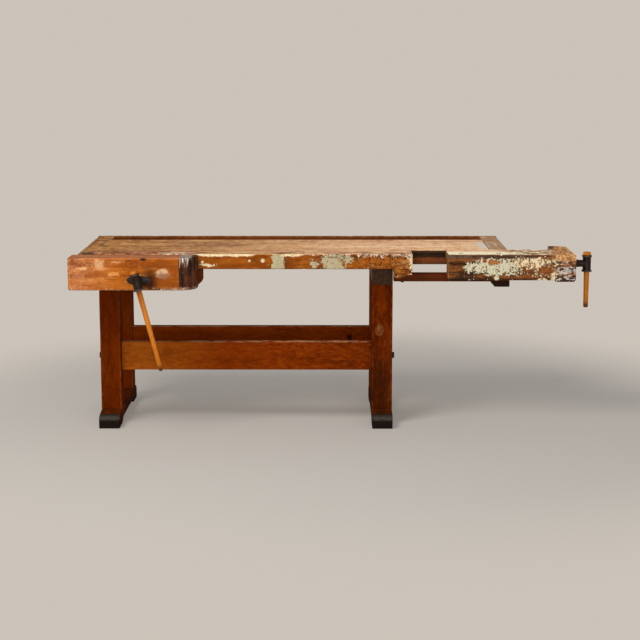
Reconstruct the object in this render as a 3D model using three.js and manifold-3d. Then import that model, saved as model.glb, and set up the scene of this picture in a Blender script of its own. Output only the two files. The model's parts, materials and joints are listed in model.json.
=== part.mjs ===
// Woodworking bench with a front vise, a tail vise and a tool tray, in millimetres.
// X runs along the bench, Y from the front edge to the back, Z up from the floor.
import * as THREE from 'three';
import { mergeVertices } from 'three/addons/utils/BufferGeometryUtils.js';
import Module from 'manifold-3d';

const wasm = await Module();
wasm.setup();

// Clearances
const fit = 0.3;
const slideGap = 0.5;
const runGap = 0.6;

// Bench top
const benchHeight = 800;
const topLength = 1950;
const slabThickness = 68;
const frontPlankDepth = 165;
const mainPlankDepth = 370;
const leftCapWidth = 80;
const rightCapWidth = 85;
const tongueThickness = 18;
const tongueLength = 14;
const tongueInset = 25;
const wornEdge = 8;
const softEdge = 2.5;
const notchLength = 446;

// Tool tray behind the planks
const trayWidth = 143;
const trayDepth = 48;
const trayFloorThickness = 14;
const trayGroove = 8;
const rimThickness = 22;
const rimHeight = 90;
const rampLength = 80;
const rampNose = 3;

// Dog holes
const dogHoleLength = 22;
const dogHoleWidth = 30;
const dogRowSetback = 42;
const dogPitch = 170;
const dogHoleCount = 5;
const dogToNotch = 214;
const tailDogHoleCount = 2;
const tailDogInset = 60;

// Trestle base
const leftLegX = 83;
const legToTailJaw = 4;
const legWidth = 93;
const legDepth = 89;
const footFront = -14;
const footLength = 674;
const frontToe = 97;
const rearToe = 46;
const footHeight = 70;
const toeHeight = 56;
const toeRadius = 22;
const heelRadius = 6;
const padLength = 118;
const archHeight = 22;
const archRun = 40;
const bearerHeight = 83;
const tenonThickness = 30;
const tenonShoulder = 15;
const footTenon = 45;
const bearerTenon = 50;
const stretcherHeight = 132;
const stretcherThickness = 38;
const stretcherBottom = 246;
const stretcherSetback = 44;
const stretcherTenon = 20;
const dowelRadius = 12;
const dowelLength = 64;

// Knock-down bolts of the stretchers
const boltRadius = 6;
const boltHeadRadius = 14;
const boltHeadHeight = 8;
const washerRadius = 17;
const washerThickness = 3;
const boltNutInset = 97;
const boltNutSize = 18;
const boltNutThickness = 12;
const pocketWidth = 20;
const pocketHeight = 52;
const pocketSkin = 6;
const boltTail = 8;

// Screws, hubs and handles of both vises
const screwRadius = 12;
const neckRadius = 19.5;
const hubRadius = 19;
const hubRimRadius = 23;
const hubRimHeight = 9;
const hubChamfer = 2;
const hubCone = 3;
const hubLength = 76;
const hubReach = 68;
const plateThickness = 6;
const plateHalfLength = 52;
const plateHalfHeight = 21;
const collarRadius = 19;
const collarLength = 14;
const collarGap = 1.2;
const handleBore = 13.6;
const handleRadius = 12.6;
const handleTipRadius = 10.6;
const handleHeadRadius = 18;
const handleHeadHeight = 15;
const handleHeadChamfer = 2;
const handleHeadDome = 4;
const handleTipChamfer = 3;
const nutPlateThickness = 8;
const nutPlateWidth = 60;
const nutPlateHeight = 38;
const nutPlateCorner = 5;
const nutBossRadius = 18;
const nutBossLength = 24;

// Front vise
const jawLength = 568;
const jawOverhang = 24;
const jawThickness = 125;
const jawBelowTop = 2;
const jawLip = 8;
const jawEndRadius = 80;
const jawChamfer = 4;
const fixedJawLength = 560;
const fixedJawHeight = 70;
const fixedJawChamfer = 16;
const frontScrewX = 288;
const frontScrewBelowSlab = 32;
const frontScrewTail = 455;
const guideRodRadius = 11;
const guideRodLength = 395;
const guideRodSocket = 65;
const leftRodX = 40;
const rightRodX = 500;
const bushRadius = 19;
const bushLength = 28;
const frontHandleLean = THREE.MathUtils.degToRad(14.5);
const frontHandleBelow = 407;

// Tail vise
const tailOpening = 159;
const tailBlockLength = 483;
const tailBlockDepth = 84;
const tailBlockLap = 18;
const headWidth = 91;
const headDepth = 300;
const headLip = 7;
const headRearRadius = 60;
const headInnerRadius = 22;
const headFrontRadius = 6;
const dovetailCount = 3;
const dovetailRoot = 8.5;
const dovetailFlare = 4;
const coverThickness = 36;
const grooveDrop = 14;
const grooveHeight = 22;
const grooveDepth = 16;
const tongueStart = 6;
const tailScrewBelowCover = 22;
const tailScrewY = 128;
const tailScrewTail = 437;
const tailHandleBelow = 203;
const railBelowSlab = 32;
const railHeight = 36;
const railDepth = 50;
const tailJawWidth = 80;
const tailJawDrop = 8;
const tailJawCutLength = 46;
const tailJawCutHeight = 28;
const railBoltInset = 40;
const railBoltRadius = 5;
const railBoltHeadRadius = 8;
const railBoltHeadHeight = 6;
const railBoltReach = 28;
const nutBlockDrop = 24;
const nutBlockHeadroom = 2;
const nutBlockCutLength = 18;
const nutBlockCutHeight = 20;
const tailNutBossRadius = 14;
const shoeStart = 6;
const shoeLength = 146;
const shoeClearance = 7;
const armStart = 60;
const armFront = 222;
const armWidth = 50;
const armHeight = 40;
const armTenon = 30;
const armTenonShoulder = 8;
const keeperWall = 14;
const keeperInset = 18;

// Facets
const easeSteps = 1;
const curveSteps = 3;
const roundSides = 24;
const hexSides = 6;

// Levels and lines that several pieces share
const slabBottom = benchHeight - slabThickness;
const slabMiddle = benchHeight - slabThickness / 2;
const slabBack = frontPlankDepth + mainPlankDepth;
const trayBack = slabBack + trayWidth;
const trayFloorTop = benchHeight - trayDepth;
const rightCapX = topLength - rightCapWidth;
const notchX = topLength - notchLength;
const footBack = footFront + footLength;
const frontLegY = footFront + frontToe;
const rearLegBack = footBack - rearToe;
const bearerBottom = slabBottom - fit - bearerHeight;
const railTop = slabBottom - railBelowSlab;
const railBottom = railTop - railHeight;
const railFront = tailBlockDepth + 2 * slideGap;
const tailX = notchX + tailOpening;
const headX = tailX + tailBlockLength;
const headRight = headX + headWidth;
const tailBottom = railTop - tailBlockLap;
const headBottom = tailBottom - headLip;
const coverBottom = benchHeight - coverThickness;
const grooveTop = benchHeight - grooveDrop;
const grooveBottom = grooveTop - grooveHeight;
const tailScrewZ = coverBottom - tailScrewBelowCover;
const frontScrewZ = slabBottom - frontScrewBelowSlab;
const fixedJawBottom = slabBottom - fixedJawHeight;
const jawFront = -fit - jawThickness;

// Materials
const finish = (color, roughness, metalness = 0) =>
  new THREE.MeshStandardMaterial({ color, roughness, metalness });
const wornTop = finish(0xb98a63, 0.75);
const wornOak = finish(0x9a5a26, 0.7);
const varnish = finish(0x7a3a14, 0.4);
const honeyWood = finish(0xc9873a, 0.45);
const iron = finish(0x2a2420, 0.5, 0.8);
const blackPaint = finish(0x26211e, 0.45);

// A closed solid from a geometry, with its shared corners merged
const solidOf = (geometry) => {
  const bare = geometry.clone();
  bare.deleteAttribute('normal');
  bare.deleteAttribute('uv');
  const merged = mergeVertices(bare, 1e-4);
  const corners = merged.index.array;
  const triangles = [];
  for (let i = 0; i < corners.length; i += 3) {
    const [a, b, c] = corners.slice(i, i + 3);
    if (a !== b && b !== c && c !== a) triangles.push(a, b, c);
  }
  return new wasm.Manifold(new wasm.Mesh({
    numProp: 3,
    vertProperties: new Float32Array(merged.attributes.position.array),
    triVerts: new Uint32Array(triangles),
  }));
};

// A named mesh from a solid
const meshOf = (name, solid, material) => {
  const { vertProperties, triVerts } = solid.getMesh();
  const geometry = new THREE.BufferGeometry();
  geometry.setAttribute('position', new THREE.BufferAttribute(vertProperties, 3));
  geometry.setIndex(new THREE.BufferAttribute(triVerts, 1));
  geometry.computeVertexNormals();
  const mesh = new THREE.Mesh(geometry, material);
  mesh.name = name;
  return mesh;
};

// A closed outline whose corners [u, v, radius] are sharp, or rounded by an arc of that radius
const outline = (corners) => {
  const shape = new THREE.Shape();
  corners.forEach(([u, v, radius = 0], index) => {
    const corner = new THREE.Vector2(u, v);
    if (radius === 0) {
      if (index === 0) shape.moveTo(u, v);
      else shape.lineTo(u, v);
      return;
    }
    const before = new THREE.Vector2(...corners.at(index - 1)).sub(corner).normalize();
    const after = new THREE.Vector2(...corners[(index + 1) % corners.length]).sub(corner).normalize();
    const half = Math.acos(before.dot(after)) / 2;
    const middle = before.clone().add(after).normalize();
    const centre = corner.clone().addScaledVector(middle, radius / Math.sin(half));
    const setback = radius / Math.tan(half);
    const start = corner.clone().addScaledVector(before, setback).sub(centre).angle();
    const end = corner.clone().addScaledVector(after, setback).sub(centre).angle();
    shape.absarc(centre.x, centre.y, radius, start, end, before.cross(after) > 0);
  });
  shape.closePath();
  return shape;
};

const rectangle = ([low, high], [bottom, top], radius = 0) =>
  outline([[low, bottom, radius], [high, bottom, radius], [high, top, radius], [low, top, radius]]);

// An outline carried along one axis. The outline is in YZ along x, in XZ along y and in XY along z.
const unitX = new THREE.Vector3(1, 0, 0);
const unitY = new THREE.Vector3(0, 1, 0);
const unitZ = new THREE.Vector3(0, 0, 1);
const turnTo = {
  x: new THREE.Matrix4().makeBasis(unitY, unitZ, unitX),
  y: new THREE.Matrix4().makeBasis(unitX, unitZ, unitY.clone().negate()),
  z: new THREE.Matrix4(),
};
const prism = (shape, along, [low, high], bevel = 0, steps = easeSteps) => {
  const geometry = new THREE.ExtrudeGeometry(shape, {
    depth: high - low - 2 * bevel,
    curveSegments: steps,
    bevelEnabled: bevel > 0,
    bevelThickness: bevel,
    bevelSize: bevel,
    bevelOffset: -bevel,
    bevelSegments: 1,
  });
  geometry.translate(0, 0, (along === 'y' ? -high : low) + bevel);
  return solidOf(geometry.applyMatrix4(turnTo[along]));
};

const boxOf = ([left, right], [front, back], [bottom, top]) => {
  const geometry = new THREE.BoxGeometry(right - left, back - front, top - bottom);
  return solidOf(geometry.translate((left + right) / 2, (front + back) / 2, (bottom + top) / 2));
};

// A squared timber with eased edges, whose grain runs along one axis
const timber = (x, y, z, along, ease = softEdge) => {
  const sides = { x: [y, z], y: [x, z], z: [x, y] }[along];
  const length = { x, y, z }[along];
  return prism(rectangle(...sides, ease), along, length, ease / 2);
};

// A round rod along one axis, through a point given on the other two axes
const rod = (radius, along, [low, high], [first, second], sides = roundSides) => {
  const geometry = new THREE.CylinderGeometry(radius, radius, high - low, sides);
  const middle = (low + high) / 2;
  if (along === 'x') geometry.rotateZ(-Math.PI / 2).translate(middle, first, second);
  if (along === 'y') geometry.translate(first, middle, second);
  if (along === 'z') geometry.rotateX(Math.PI / 2).translate(first, second, middle);
  return solidOf(geometry);
};

// A turned piece about the Y axis from [radius, height] points, ending on the axis at both ends
const turned = (points) =>
  solidOf(new THREE.LatheGeometry(points.map(([r, h]) => new THREE.Vector2(r, h)), roundSides));

const grow = ([low, high], gap) => [low - gap, high + gap];
const centred = (middle, width) => [middle - width / 2, middle + width / 2];

// Bench top: two planks between end caps, joined by tongues
const tongueZ = centred(slabMiddle, tongueThickness);
const frontTongueY = [tongueInset, frontPlankDepth - tongueInset];
const mainTongueY = [frontPlankDepth + tongueInset, slabBack - tongueInset];
const leftTongueX = [leftCapWidth - tongueLength, leftCapWidth + tongueLength];
const rightTongueX = [rightCapX - tongueLength, rightCapX + tongueLength];
const trayFloorX = [leftCapWidth - trayGroove, rightCapX + trayGroove];
const trayFloorY = [slabBack - trayGroove, trayBack + trayGroove];
const trayFloorZ = [trayFloorTop - trayFloorThickness, trayFloorTop];
const trayFloorSeat = boxOf(grow(trayFloorX, fit), grow(trayFloorY, fit), grow(trayFloorZ, fit));
const grooveCut = boxOf(
  [notchX, topLength + fit],
  [frontPlankDepth - fit, frontPlankDepth + grooveDepth],
  [grooveBottom, grooveTop],
);
const dogY = centred(dogRowSetback, dogHoleWidth);
const dogHole = (x) => boxOf(centred(x, dogHoleLength), dogY, [0, benchHeight + fit]);
const railBoltX = notchX - railBoltInset;
const railMiddleY = railFront + railDepth / 2;
const railBoltHole = rod(
  railBoltRadius + fit,
  'z',
  [0, slabBottom + railBoltReach + fit],
  [railBoltX, railMiddleY],
);
const dowelY = (frontPlankDepth + slabBack) / 2;
const dowelZ = centred(slabBottom, dowelLength);
const legXs = [leftLegX, notchX - tailJawWidth - legToTailJaw - legWidth];
const dowelHole = (legX) =>
  rod(dowelRadius + fit, 'z', grow(dowelZ, fit), [legX + legWidth / 2, dowelY]);

const frontPlank = () => {
  const section = outline([
    [0, slabBottom, softEdge],
    [frontPlankDepth - fit, slabBottom],
    [frontPlankDepth - fit, benchHeight],
    [0, benchHeight, wornEdge],
  ]);
  let plank = prism(section, 'x', [leftCapWidth + fit, notchX]);
  plank = plank.add(boxOf(leftTongueX, frontTongueY, tongueZ));
  for (let i = 0; i < dogHoleCount; i += 1) {
    plank = plank.subtract(dogHole(notchX - dogToNotch - i * dogPitch));
  }
  return plank.subtract(railBoltHole);
};

const mainPlank = () => {
  let plank = boxOf(
    [leftCapWidth + fit, rightCapX - fit],
    [frontPlankDepth, slabBack],
    [slabBottom, benchHeight],
  );
  plank = plank.add(boxOf(leftTongueX, mainTongueY, tongueZ));
  plank = plank.add(boxOf(rightTongueX, mainTongueY, tongueZ));
  legXs.forEach((legX) => {
    plank = plank.subtract(dowelHole(legX));
  });
  return plank.subtract(grooveCut).subtract(trayFloorSeat);
};

const leftEndCap = () => {
  const section = outline([
    [0, slabBottom, softEdge],
    [leftCapWidth, slabBottom],
    [leftCapWidth, benchHeight],
    [0, benchHeight, wornEdge],
  ]);
  const seatX = [leftCapWidth - tongueLength - fit, leftCapWidth + fit];
  return prism(section, 'y', [0, trayBack - fit])
    .subtract(boxOf(seatX, grow(frontTongueY, fit), grow(tongueZ, fit)))
    .subtract(boxOf(seatX, grow(mainTongueY, fit), grow(tongueZ, fit)))
    .subtract(trayFloorSeat);
};

const rightEndCap = () => {
  const section = outline([
    [rightCapX, slabBottom],
    [topLength, slabBottom, softEdge],
    [topLength, benchHeight, wornEdge],
    [rightCapX, benchHeight],
  ]);
  const seatX = [rightCapX - fit, rightCapX + tongueLength + fit];
  return prism(section, 'y', [frontPlankDepth, trayBack - fit])
    .subtract(boxOf(seatX, grow(mainTongueY, fit), grow(tongueZ, fit)))
    .subtract(grooveCut)
    .subtract(trayFloorSeat);
};

const trayRamp = () => {
  const right = rightCapX - fit;
  const floor = trayFloorTop + fit;
  const wedge = outline([
    [right - rampLength, floor],
    [right, floor],
    [right, benchHeight],
    [right - rampNose, benchHeight],
    [right - rampLength, floor + rampNose],
  ]);
  return prism(wedge, 'y', [slabBack + fit, trayBack - fit]);
};

const rearRim = () => {
  const section = outline([
    [trayBack, benchHeight - rimHeight, softEdge],
    [trayBack + rimThickness, benchHeight - rimHeight, softEdge],
    [trayBack + rimThickness, benchHeight, softEdge],
    [trayBack, benchHeight, softEdge],
  ]);
  return prism(section, 'x', [0, topLength]).subtract(trayFloorSeat);
};

const benchTop = new THREE.Group();
benchTop.add(
  meshOf('front_plank', frontPlank(), wornTop),
  meshOf('main_plank', mainPlank(), wornTop),
  meshOf('left_end_cap', leftEndCap(), wornTop),
  meshOf('right_end_cap', rightEndCap(), wornTop),
  meshOf('tray_floor', boxOf(trayFloorX, trayFloorY, trayFloorZ), wornOak),
  meshOf('tray_ramp', trayRamp(), wornOak),
  meshOf('rear_rim', rearRim(), wornOak),
);

// Trestle base: sled feet, legs tenoned into feet and bearers, stretchers pulled in by bolts
const legYs = [frontLegY, rearLegBack - legDepth];
const stretcherYs = [
  frontLegY + stretcherSetback,
  rearLegBack - stretcherSetback - stretcherThickness,
];
const stretcherZ = [stretcherBottom, stretcherBottom + stretcherHeight];
const boltZ = (stretcherZ[0] + stretcherZ[1]) / 2;
const innerLeft = legXs[0] + legWidth;
const innerRight = legXs[1];
const tenonX = (legX) => centred(legX + legWidth / 2, tenonThickness);
const tenonY = (legY) => [legY + tenonShoulder, legY + legDepth - tenonShoulder];
const footTenonZ = [footHeight - footTenon, footHeight + footTenon];
const bearerTenonZ = [bearerBottom - bearerTenon, bearerBottom + bearerTenon];
const stretcherTenonX = [innerLeft - stretcherTenon, innerRight + stretcherTenon];
const stretcherTenonZ = grow(stretcherZ, -tenonShoulder);
const legMortise = (legX, legY, tenonZ) =>
  boxOf(grow(tenonX(legX), fit), grow(tenonY(legY), fit), grow(tenonZ, fit));
const boltHole = (boltY) =>
  rod(boltRadius + fit, 'x', [0, topLength], [boltY, boltZ]);

const foot = (legX) => {
  const section = outline([
    [footFront, 0, heelRadius],
    [footFront + padLength, 0],
    [footFront + padLength + archRun, archHeight, archRun],
    [footBack - padLength - archRun, archHeight, archRun],
    [footBack - padLength, 0],
    [footBack, 0, heelRadius],
    [footBack, toeHeight, toeRadius],
    [rearLegBack, footHeight],
    [frontLegY, footHeight],
    [footFront, toeHeight, toeRadius],
  ]);
  let sled = prism(section, 'x', [legX, legX + legWidth], softEdge, curveSteps);
  legYs.forEach((legY) => {
    sled = sled.subtract(legMortise(legX, legY, footTenonZ));
  });
  return sled;
};

const leg = (legX, legY, stretcherY) => {
  const x = [legX, legX + legWidth];
  const y = [legY, legY + legDepth];
  const seatY = grow([stretcherY, stretcherY + stretcherThickness], fit);
  return timber(x, y, [footHeight + fit, bearerBottom - fit], 'z')
    .add(boxOf(tenonX(legX), tenonY(legY), footTenonZ))
    .add(boxOf(tenonX(legX), tenonY(legY), bearerTenonZ))
    .subtract(boxOf(grow(stretcherTenonX, fit), seatY, grow(stretcherTenonZ, fit)))
    .subtract(boltHole(stretcherY + stretcherThickness / 2));
};

const bearer = (legX) => {
  let beam = timber(
    [legX, legX + legWidth],
    [frontLegY, rearLegBack],
    [bearerBottom, slabBottom - fit],
    'y',
  );
  legYs.forEach((legY) => {
    beam = beam.subtract(legMortise(legX, legY, bearerTenonZ));
  });
  return beam.subtract(dowelHole(legX));
};

// The bolt nuts sit in pockets cut from the stretcher's inner face
const boltNutXs = [innerLeft + boltNutInset, innerRight - boltNutInset];
const stretcher = (stretcherY, isFront) => {
  const y = [stretcherY, stretcherY + stretcherThickness];
  const pocketY = isFront ? [y[0] + pocketSkin, y[1] + fit] : [y[0] - fit, y[1] - pocketSkin];
  let rail = timber([innerLeft + fit, innerRight - fit], y, stretcherZ, 'x');
  rail = rail.add(boxOf(stretcherTenonX, y, stretcherTenonZ));
  boltNutXs.forEach((nutX) => {
    rail = rail.subtract(boxOf(centred(nutX, pocketWidth), pocketY, centred(boltZ, pocketHeight)));
  });
  return rail.subtract(boltHole((y[0] + y[1]) / 2));
};

// A bolt along X: its head lies outside the leg, and side is -1 on the left and 1 on the right
const stretcherBolt = (boltY, side) => {
  const face = side < 0 ? legXs[0] : legXs[1] + legWidth;
  const nutX = side < 0 ? boltNutXs[0] : boltNutXs[1];
  const span = (from, to) => [Math.min(from, to), Math.max(from, to)];
  const seat = face + side * fit;
  const washerEnd = seat + side * washerThickness;
  const tip = nutX - side * boltTail;
  return rod(boltRadius, 'x', span(tip, washerEnd), [boltY, boltZ])
    .add(rod(washerRadius, 'x', span(seat, washerEnd), [boltY, boltZ]))
    .add(rod(boltHeadRadius, 'x', span(seat, washerEnd + side * boltHeadHeight), [boltY, boltZ], hexSides));
};

const boltNut = (nutX, boltY) =>
  boxOf(centred(nutX, boltNutThickness), centred(boltY, boltNutSize), centred(boltZ, boltNutSize))
    .subtract(boltHole(boltY));

const base = new THREE.Group();
const sides = ['left', 'right'];
const rows = ['front', 'rear'];
sides.forEach((side, i) => {
  const legX = legXs[i];
  base.add(meshOf(`${side}_foot`, foot(legX), blackPaint));
  base.add(meshOf(`${side}_bearer`, bearer(legX), varnish));
  const pin = rod(dowelRadius, 'z', dowelZ, [legX + legWidth / 2, dowelY]);
  base.add(meshOf(`${side}_top_dowel`, pin, honeyWood));
  rows.forEach((row, j) => {
    const boltY = stretcherYs[j] + stretcherThickness / 2;
    base.add(meshOf(`${row}_${side}_leg`, leg(legX, legYs[j], stretcherYs[j]), varnish));
    base.add(meshOf(`${row}_${side}_bolt`, stretcherBolt(boltY, i === 0 ? -1 : 1), iron));
    base.add(meshOf(`${row}_${side}_bolt_nut`, boltNut(boltNutXs[i], boltY), iron));
  });
});
rows.forEach((row, j) => {
  base.add(meshOf(`${row}_stretcher`, stretcher(stretcherYs[j], j === 0), varnish));
});

// A vise screw set in its own frame: Z points out of the vise's face, and the handle hangs along Y
const screwSet = (shaftTail, handleBelow, collarFace) => {
  const neckStart = plateThickness + 2 * fit;
  const hubEnd = hubLength / 2;
  const hub = turned([
    [0, -hubEnd],
    [hubRimRadius - hubChamfer, -hubEnd],
    [hubRimRadius, -hubEnd + hubChamfer],
    [hubRimRadius, -hubEnd + hubRimHeight - hubCone],
    [hubRadius, -hubEnd + hubRimHeight],
    [hubRadius, hubEnd - hubRimHeight],
    [hubRimRadius, hubEnd - hubRimHeight + hubCone],
    [hubRimRadius, hubEnd - hubChamfer],
    [hubRimRadius - hubChamfer, hubEnd],
    [0, hubEnd],
  ]).translate([0, 0, hubReach]);
  const screw = rod(screwRadius, 'z', [-shaftTail, hubReach], [0, 0])
    .add(rod(neckRadius, 'z', [neckStart, hubReach], [0, 0]))
    .add(hub)
    .subtract(rod(handleBore, 'y', grow([-hubEnd, hubEnd], fit), [0, hubReach]));
  const headStart = hubEnd + fit;
  const headEnd = headStart + handleHeadHeight;
  const handle = turned([
    [0, -handleBelow],
    [handleTipRadius - handleTipChamfer, -handleBelow],
    [handleTipRadius, -handleBelow + handleTipChamfer],
    [handleRadius, 0],
    [handleRadius, headStart],
    [handleHeadRadius - handleHeadChamfer, headStart],
    [handleHeadRadius, headStart + handleHeadChamfer],
    [handleHeadRadius, headEnd - handleHeadDome],
    [handleHeadRadius - handleHeadDome, headEnd],
    [0, headEnd],
  ]).translate([0, 0, hubReach]);
  const collarZ = [collarFace - collarLength, collarFace];
  const collar = rod(collarRadius, 'z', collarZ, [0, 0])
    .subtract(rod(screwRadius + fit, 'z', grow(collarZ, fit), [0, 0]));
  return { screw, handle, collar };
};

// The plate of a screw's nut, centred on the screw
const nutPlate = (first, second) =>
  rectangle(centred(first, nutPlateWidth), centred(second, nutPlateHeight), nutPlateCorner);

// Front vise: a fixed jaw under the plank, and a moving jaw on a screw and two guide rods
const rodXs = { left: leftRodX, right: rightRodX };
const frontAxis = [frontScrewX, frontScrewZ];
const fixedJawBack = frontLegY - fit;
const throughJaws = [jawFront - fit, frontLegY + nutBossLength + bushLength];
const screwBore = rod(screwRadius + runGap, 'y', throughJaws, frontAxis);

const frontFixedJaw = () => {
  const face = outline([
    [0, fixedJawBottom, softEdge],
    [fixedJawLength - fixedJawChamfer, fixedJawBottom],
    [fixedJawLength, fixedJawBottom + fixedJawChamfer],
    [fixedJawLength, slabBottom - fit],
    [0, slabBottom - fit],
  ]);
  let jaw = prism(face, 'y', [0, fixedJawBack]).subtract(screwBore);
  Object.values(rodXs).forEach((x) => {
    jaw = jaw.subtract(rod(guideRodRadius + runGap, 'y', throughJaws, [x, frontScrewZ]));
  });
  return jaw;
};

const frontScrewNut = () => {
  const plate = nutPlate(...frontAxis);
  const bossEnd = frontLegY + nutBossLength;
  return prism(plate, 'y', [frontLegY, frontLegY + nutPlateThickness])
    .add(rod(nutBossRadius, 'y', [frontLegY, bossEnd], frontAxis))
    .subtract(screwBore);
};

const guideBush = (x) =>
  rod(bushRadius, 'y', [frontLegY, frontLegY + bushLength], [x, frontScrewZ])
    .subtract(rod(guideRodRadius + runGap, 'y', throughJaws, [x, frontScrewZ]));

const frontJaw = () => {
  const right = jawLength - jawOverhang;
  const plan = outline([
    [-jawOverhang, jawFront, jawChamfer],
    [right, jawFront, jawEndRadius],
    [right, -fit, softEdge],
    [-jawOverhang, -fit, softEdge],
  ]);
  const socketY = [-fit - guideRodSocket - fit, fit];
  const collarSeatY = [-fit - collarLength - collarGap, fit];
  const jawZ = [fixedJawBottom - jawLip, benchHeight - jawBelowTop];
  let jaw = prism(plan, 'z', jawZ, softEdge / 2, curveSteps)
    .subtract(screwBore)
    .subtract(rod(collarRadius + runGap, 'y', collarSeatY, frontAxis));
  Object.values(rodXs).forEach((x) => {
    jaw = jaw.subtract(rod(guideRodRadius + fit, 'y', socketY, [x, frontScrewZ]));
  });
  return jaw;
};

// An oval flange with a hole for the screw, lying on a vise face
const flangeOutline = (first, second) => {
  const shape = new THREE.Shape();
  shape.absellipse(first, second, plateHalfLength, plateHalfHeight, 0, 2 * Math.PI, false, 0);
  const hole = new THREE.Path();
  hole.absarc(first, second, screwRadius + runGap, 0, 2 * Math.PI, true);
  shape.holes.push(hole);
  return shape;
};
const flangePlate = (shape, along, range) => {
  const geometry = new THREE.ExtrudeGeometry(shape, {
    depth: range[1] - range[0],
    curveSegments: roundSides / 2,
    bevelEnabled: false,
  });
  geometry.translate(0, 0, along === 'y' ? -range[1] : range[0]);
  return solidOf(geometry.applyMatrix4(turnTo[along]));
};

const frontVise = new THREE.Group();
const frontPlateY = [jawFront - fit - plateThickness, jawFront - fit];
frontVise.add(
  meshOf('front_fixed_jaw', frontFixedJaw(), wornOak),
  meshOf('front_screw_nut', frontScrewNut(), iron),
  meshOf('front_jaw', frontJaw(), wornOak),
  meshOf('front_flange_plate', flangePlate(flangeOutline(...frontAxis), 'y', frontPlateY), iron),
);
Object.entries(rodXs).forEach(([side, x]) => {
  const rodY = [-fit - guideRodSocket, guideRodLength - guideRodSocket];
  frontVise.add(meshOf(`${side}_guide_bush`, guideBush(x), iron));
  frontVise.add(meshOf(`${side}_guide_rod`, rod(guideRodRadius, 'y', rodY, [x, frontScrewZ]), iron));
});

const addScrewSet = (prefix, set, position, out, up) => {
  const frame = new THREE.Group();
  frame.position.copy(position);
  const turn = new THREE.Matrix4().makeBasis(up.clone().cross(out), up, out);
  frame.quaternion.setFromRotationMatrix(turn);
  frame.add(
    meshOf(`${prefix}_screw`, set.screw, iron),
    meshOf(`${prefix}_handle`, set.handle, honeyWood),
    meshOf(`${prefix}_thrust_collar`, set.collar, iron),
  );
  return frame;
};
const frontCollarFace = -jawThickness + collarLength + fit;
frontVise.add(addScrewSet(
  'front',
  screwSet(frontScrewTail, frontHandleBelow, frontCollarFace),
  new THREE.Vector3(frontScrewX, jawFront, frontScrewZ),
  unitY.clone().negate(),
  new THREE.Vector3(-Math.sin(frontHandleLean), 0, Math.cos(frontHandleLean)),
));

// Tail vise, fixed side: jaw under the plank end, guide rail, nut block and arm keeper
const railX = [notchX - tailJawWidth, topLength];
const railY = [railFront, railFront + railDepth];
const railZ = [railBottom, railTop];
const nutBlockBottom = railBottom - nutBlockDrop;
const nutBlockTop = coverBottom - nutBlockHeadroom;
const tailAxis = [tailScrewY, tailScrewZ];
const tailScrewBore = rod(screwRadius + runGap, 'x', [notchX, headRight + fit], tailAxis);
const armY = [armFront, armFront + armWidth];
const armZ = [slabBottom - slideGap - armHeight, slabBottom - slideGap];

const tailFixedJaw = () => {
  const bottom = railTop - tailJawDrop;
  const face = outline([
    [railX[0], bottom, softEdge],
    [notchX - tailJawCutLength, bottom],
    [notchX, bottom + tailJawCutHeight],
    [notchX, slabBottom - fit],
    [railX[0], slabBottom - fit],
  ]);
  const backY = [tailBlockDepth / 2, frontPlankDepth - fit];
  const hanger = boxOf([railX[0], notchX - fit], backY, [railTop + fit, slabBottom - fit]);
  return prism(face, 'y', [0, railFront - fit])
    .add(hanger)
    .subtract(railBoltHole);
};

const railBolt = () => {
  const bottom = railBottom - fit - railBoltHeadHeight;
  return rod(railBoltRadius, 'z', [bottom, slabBottom + railBoltReach], [railBoltX, railMiddleY])
    .add(rod(railBoltHeadRadius, 'z', [bottom, railBottom - fit], [railBoltX, railMiddleY], hexSides));
};

const tailNutBlock = () => {
  const face = outline([
    [rightCapX, nutBlockBottom + nutBlockCutHeight],
    [rightCapX + nutBlockCutLength, nutBlockBottom],
    [topLength, nutBlockBottom, softEdge],
    [topLength, nutBlockTop],
    [rightCapX, nutBlockTop],
  ]);
  const bossX = [topLength - nutBossLength, topLength + fit];
  return prism(face, 'y', [railFront, frontPlankDepth - fit])
    .subtract(boxOf(grow(railX, fit), grow(railY, fit), grow(railZ, fit)))
    .subtract(tailScrewBore)
    .subtract(rod(tailNutBossRadius + fit, 'x', bossX, tailAxis));
};

const tailScrewNut = () => {
  const face = topLength + fit;
  const plate = nutPlate(...tailAxis);
  return prism(plate, 'x', [face, face + nutPlateThickness])
    .add(rod(tailNutBossRadius, 'x', [topLength - nutBossLength + fit, face + fit], tailAxis))
    .subtract(tailScrewBore);
};

const armKeeper = () => {
  const inner = grow(armY, slideGap);
  const outer = grow(inner, keeperWall);
  const floor = armZ[0] - slideGap;
  const saddle = outline([
    [outer[0], floor - keeperWall, softEdge],
    [outer[1], floor - keeperWall, softEdge],
    [outer[1], slabBottom - fit],
    [inner[1], slabBottom - fit],
    [inner[1], floor],
    [inner[0], floor],
    [inner[0], slabBottom - fit],
    [outer[0], slabBottom - fit],
  ]);
  return prism(saddle, 'x', grow([rightCapX, topLength], -keeperInset));
};

const guideRail = timber(railX, railY, railZ, 'x').subtract(railBoltHole);

// Tail vise, moving side: dog-hole block dovetailed into the head, cover, shoe and guide arm
const dovetailPitch = (benchHeight - tailBottom) / dovetailCount;
const dovetails = (gap) => {
  const tails = [];
  for (let i = 0; i < dovetailCount; i += 1) {
    const middle = tailBottom + dovetailPitch * (i + 0.5);
    const root = dovetailRoot + gap;
    const tip = dovetailRoot + dovetailFlare + gap;
    tails.push([headX - gap, middle - root], [headRight, middle - tip]);
    tails.push([headRight, middle + tip], [headX - gap, middle + root]);
  }
  return tails;
};

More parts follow.
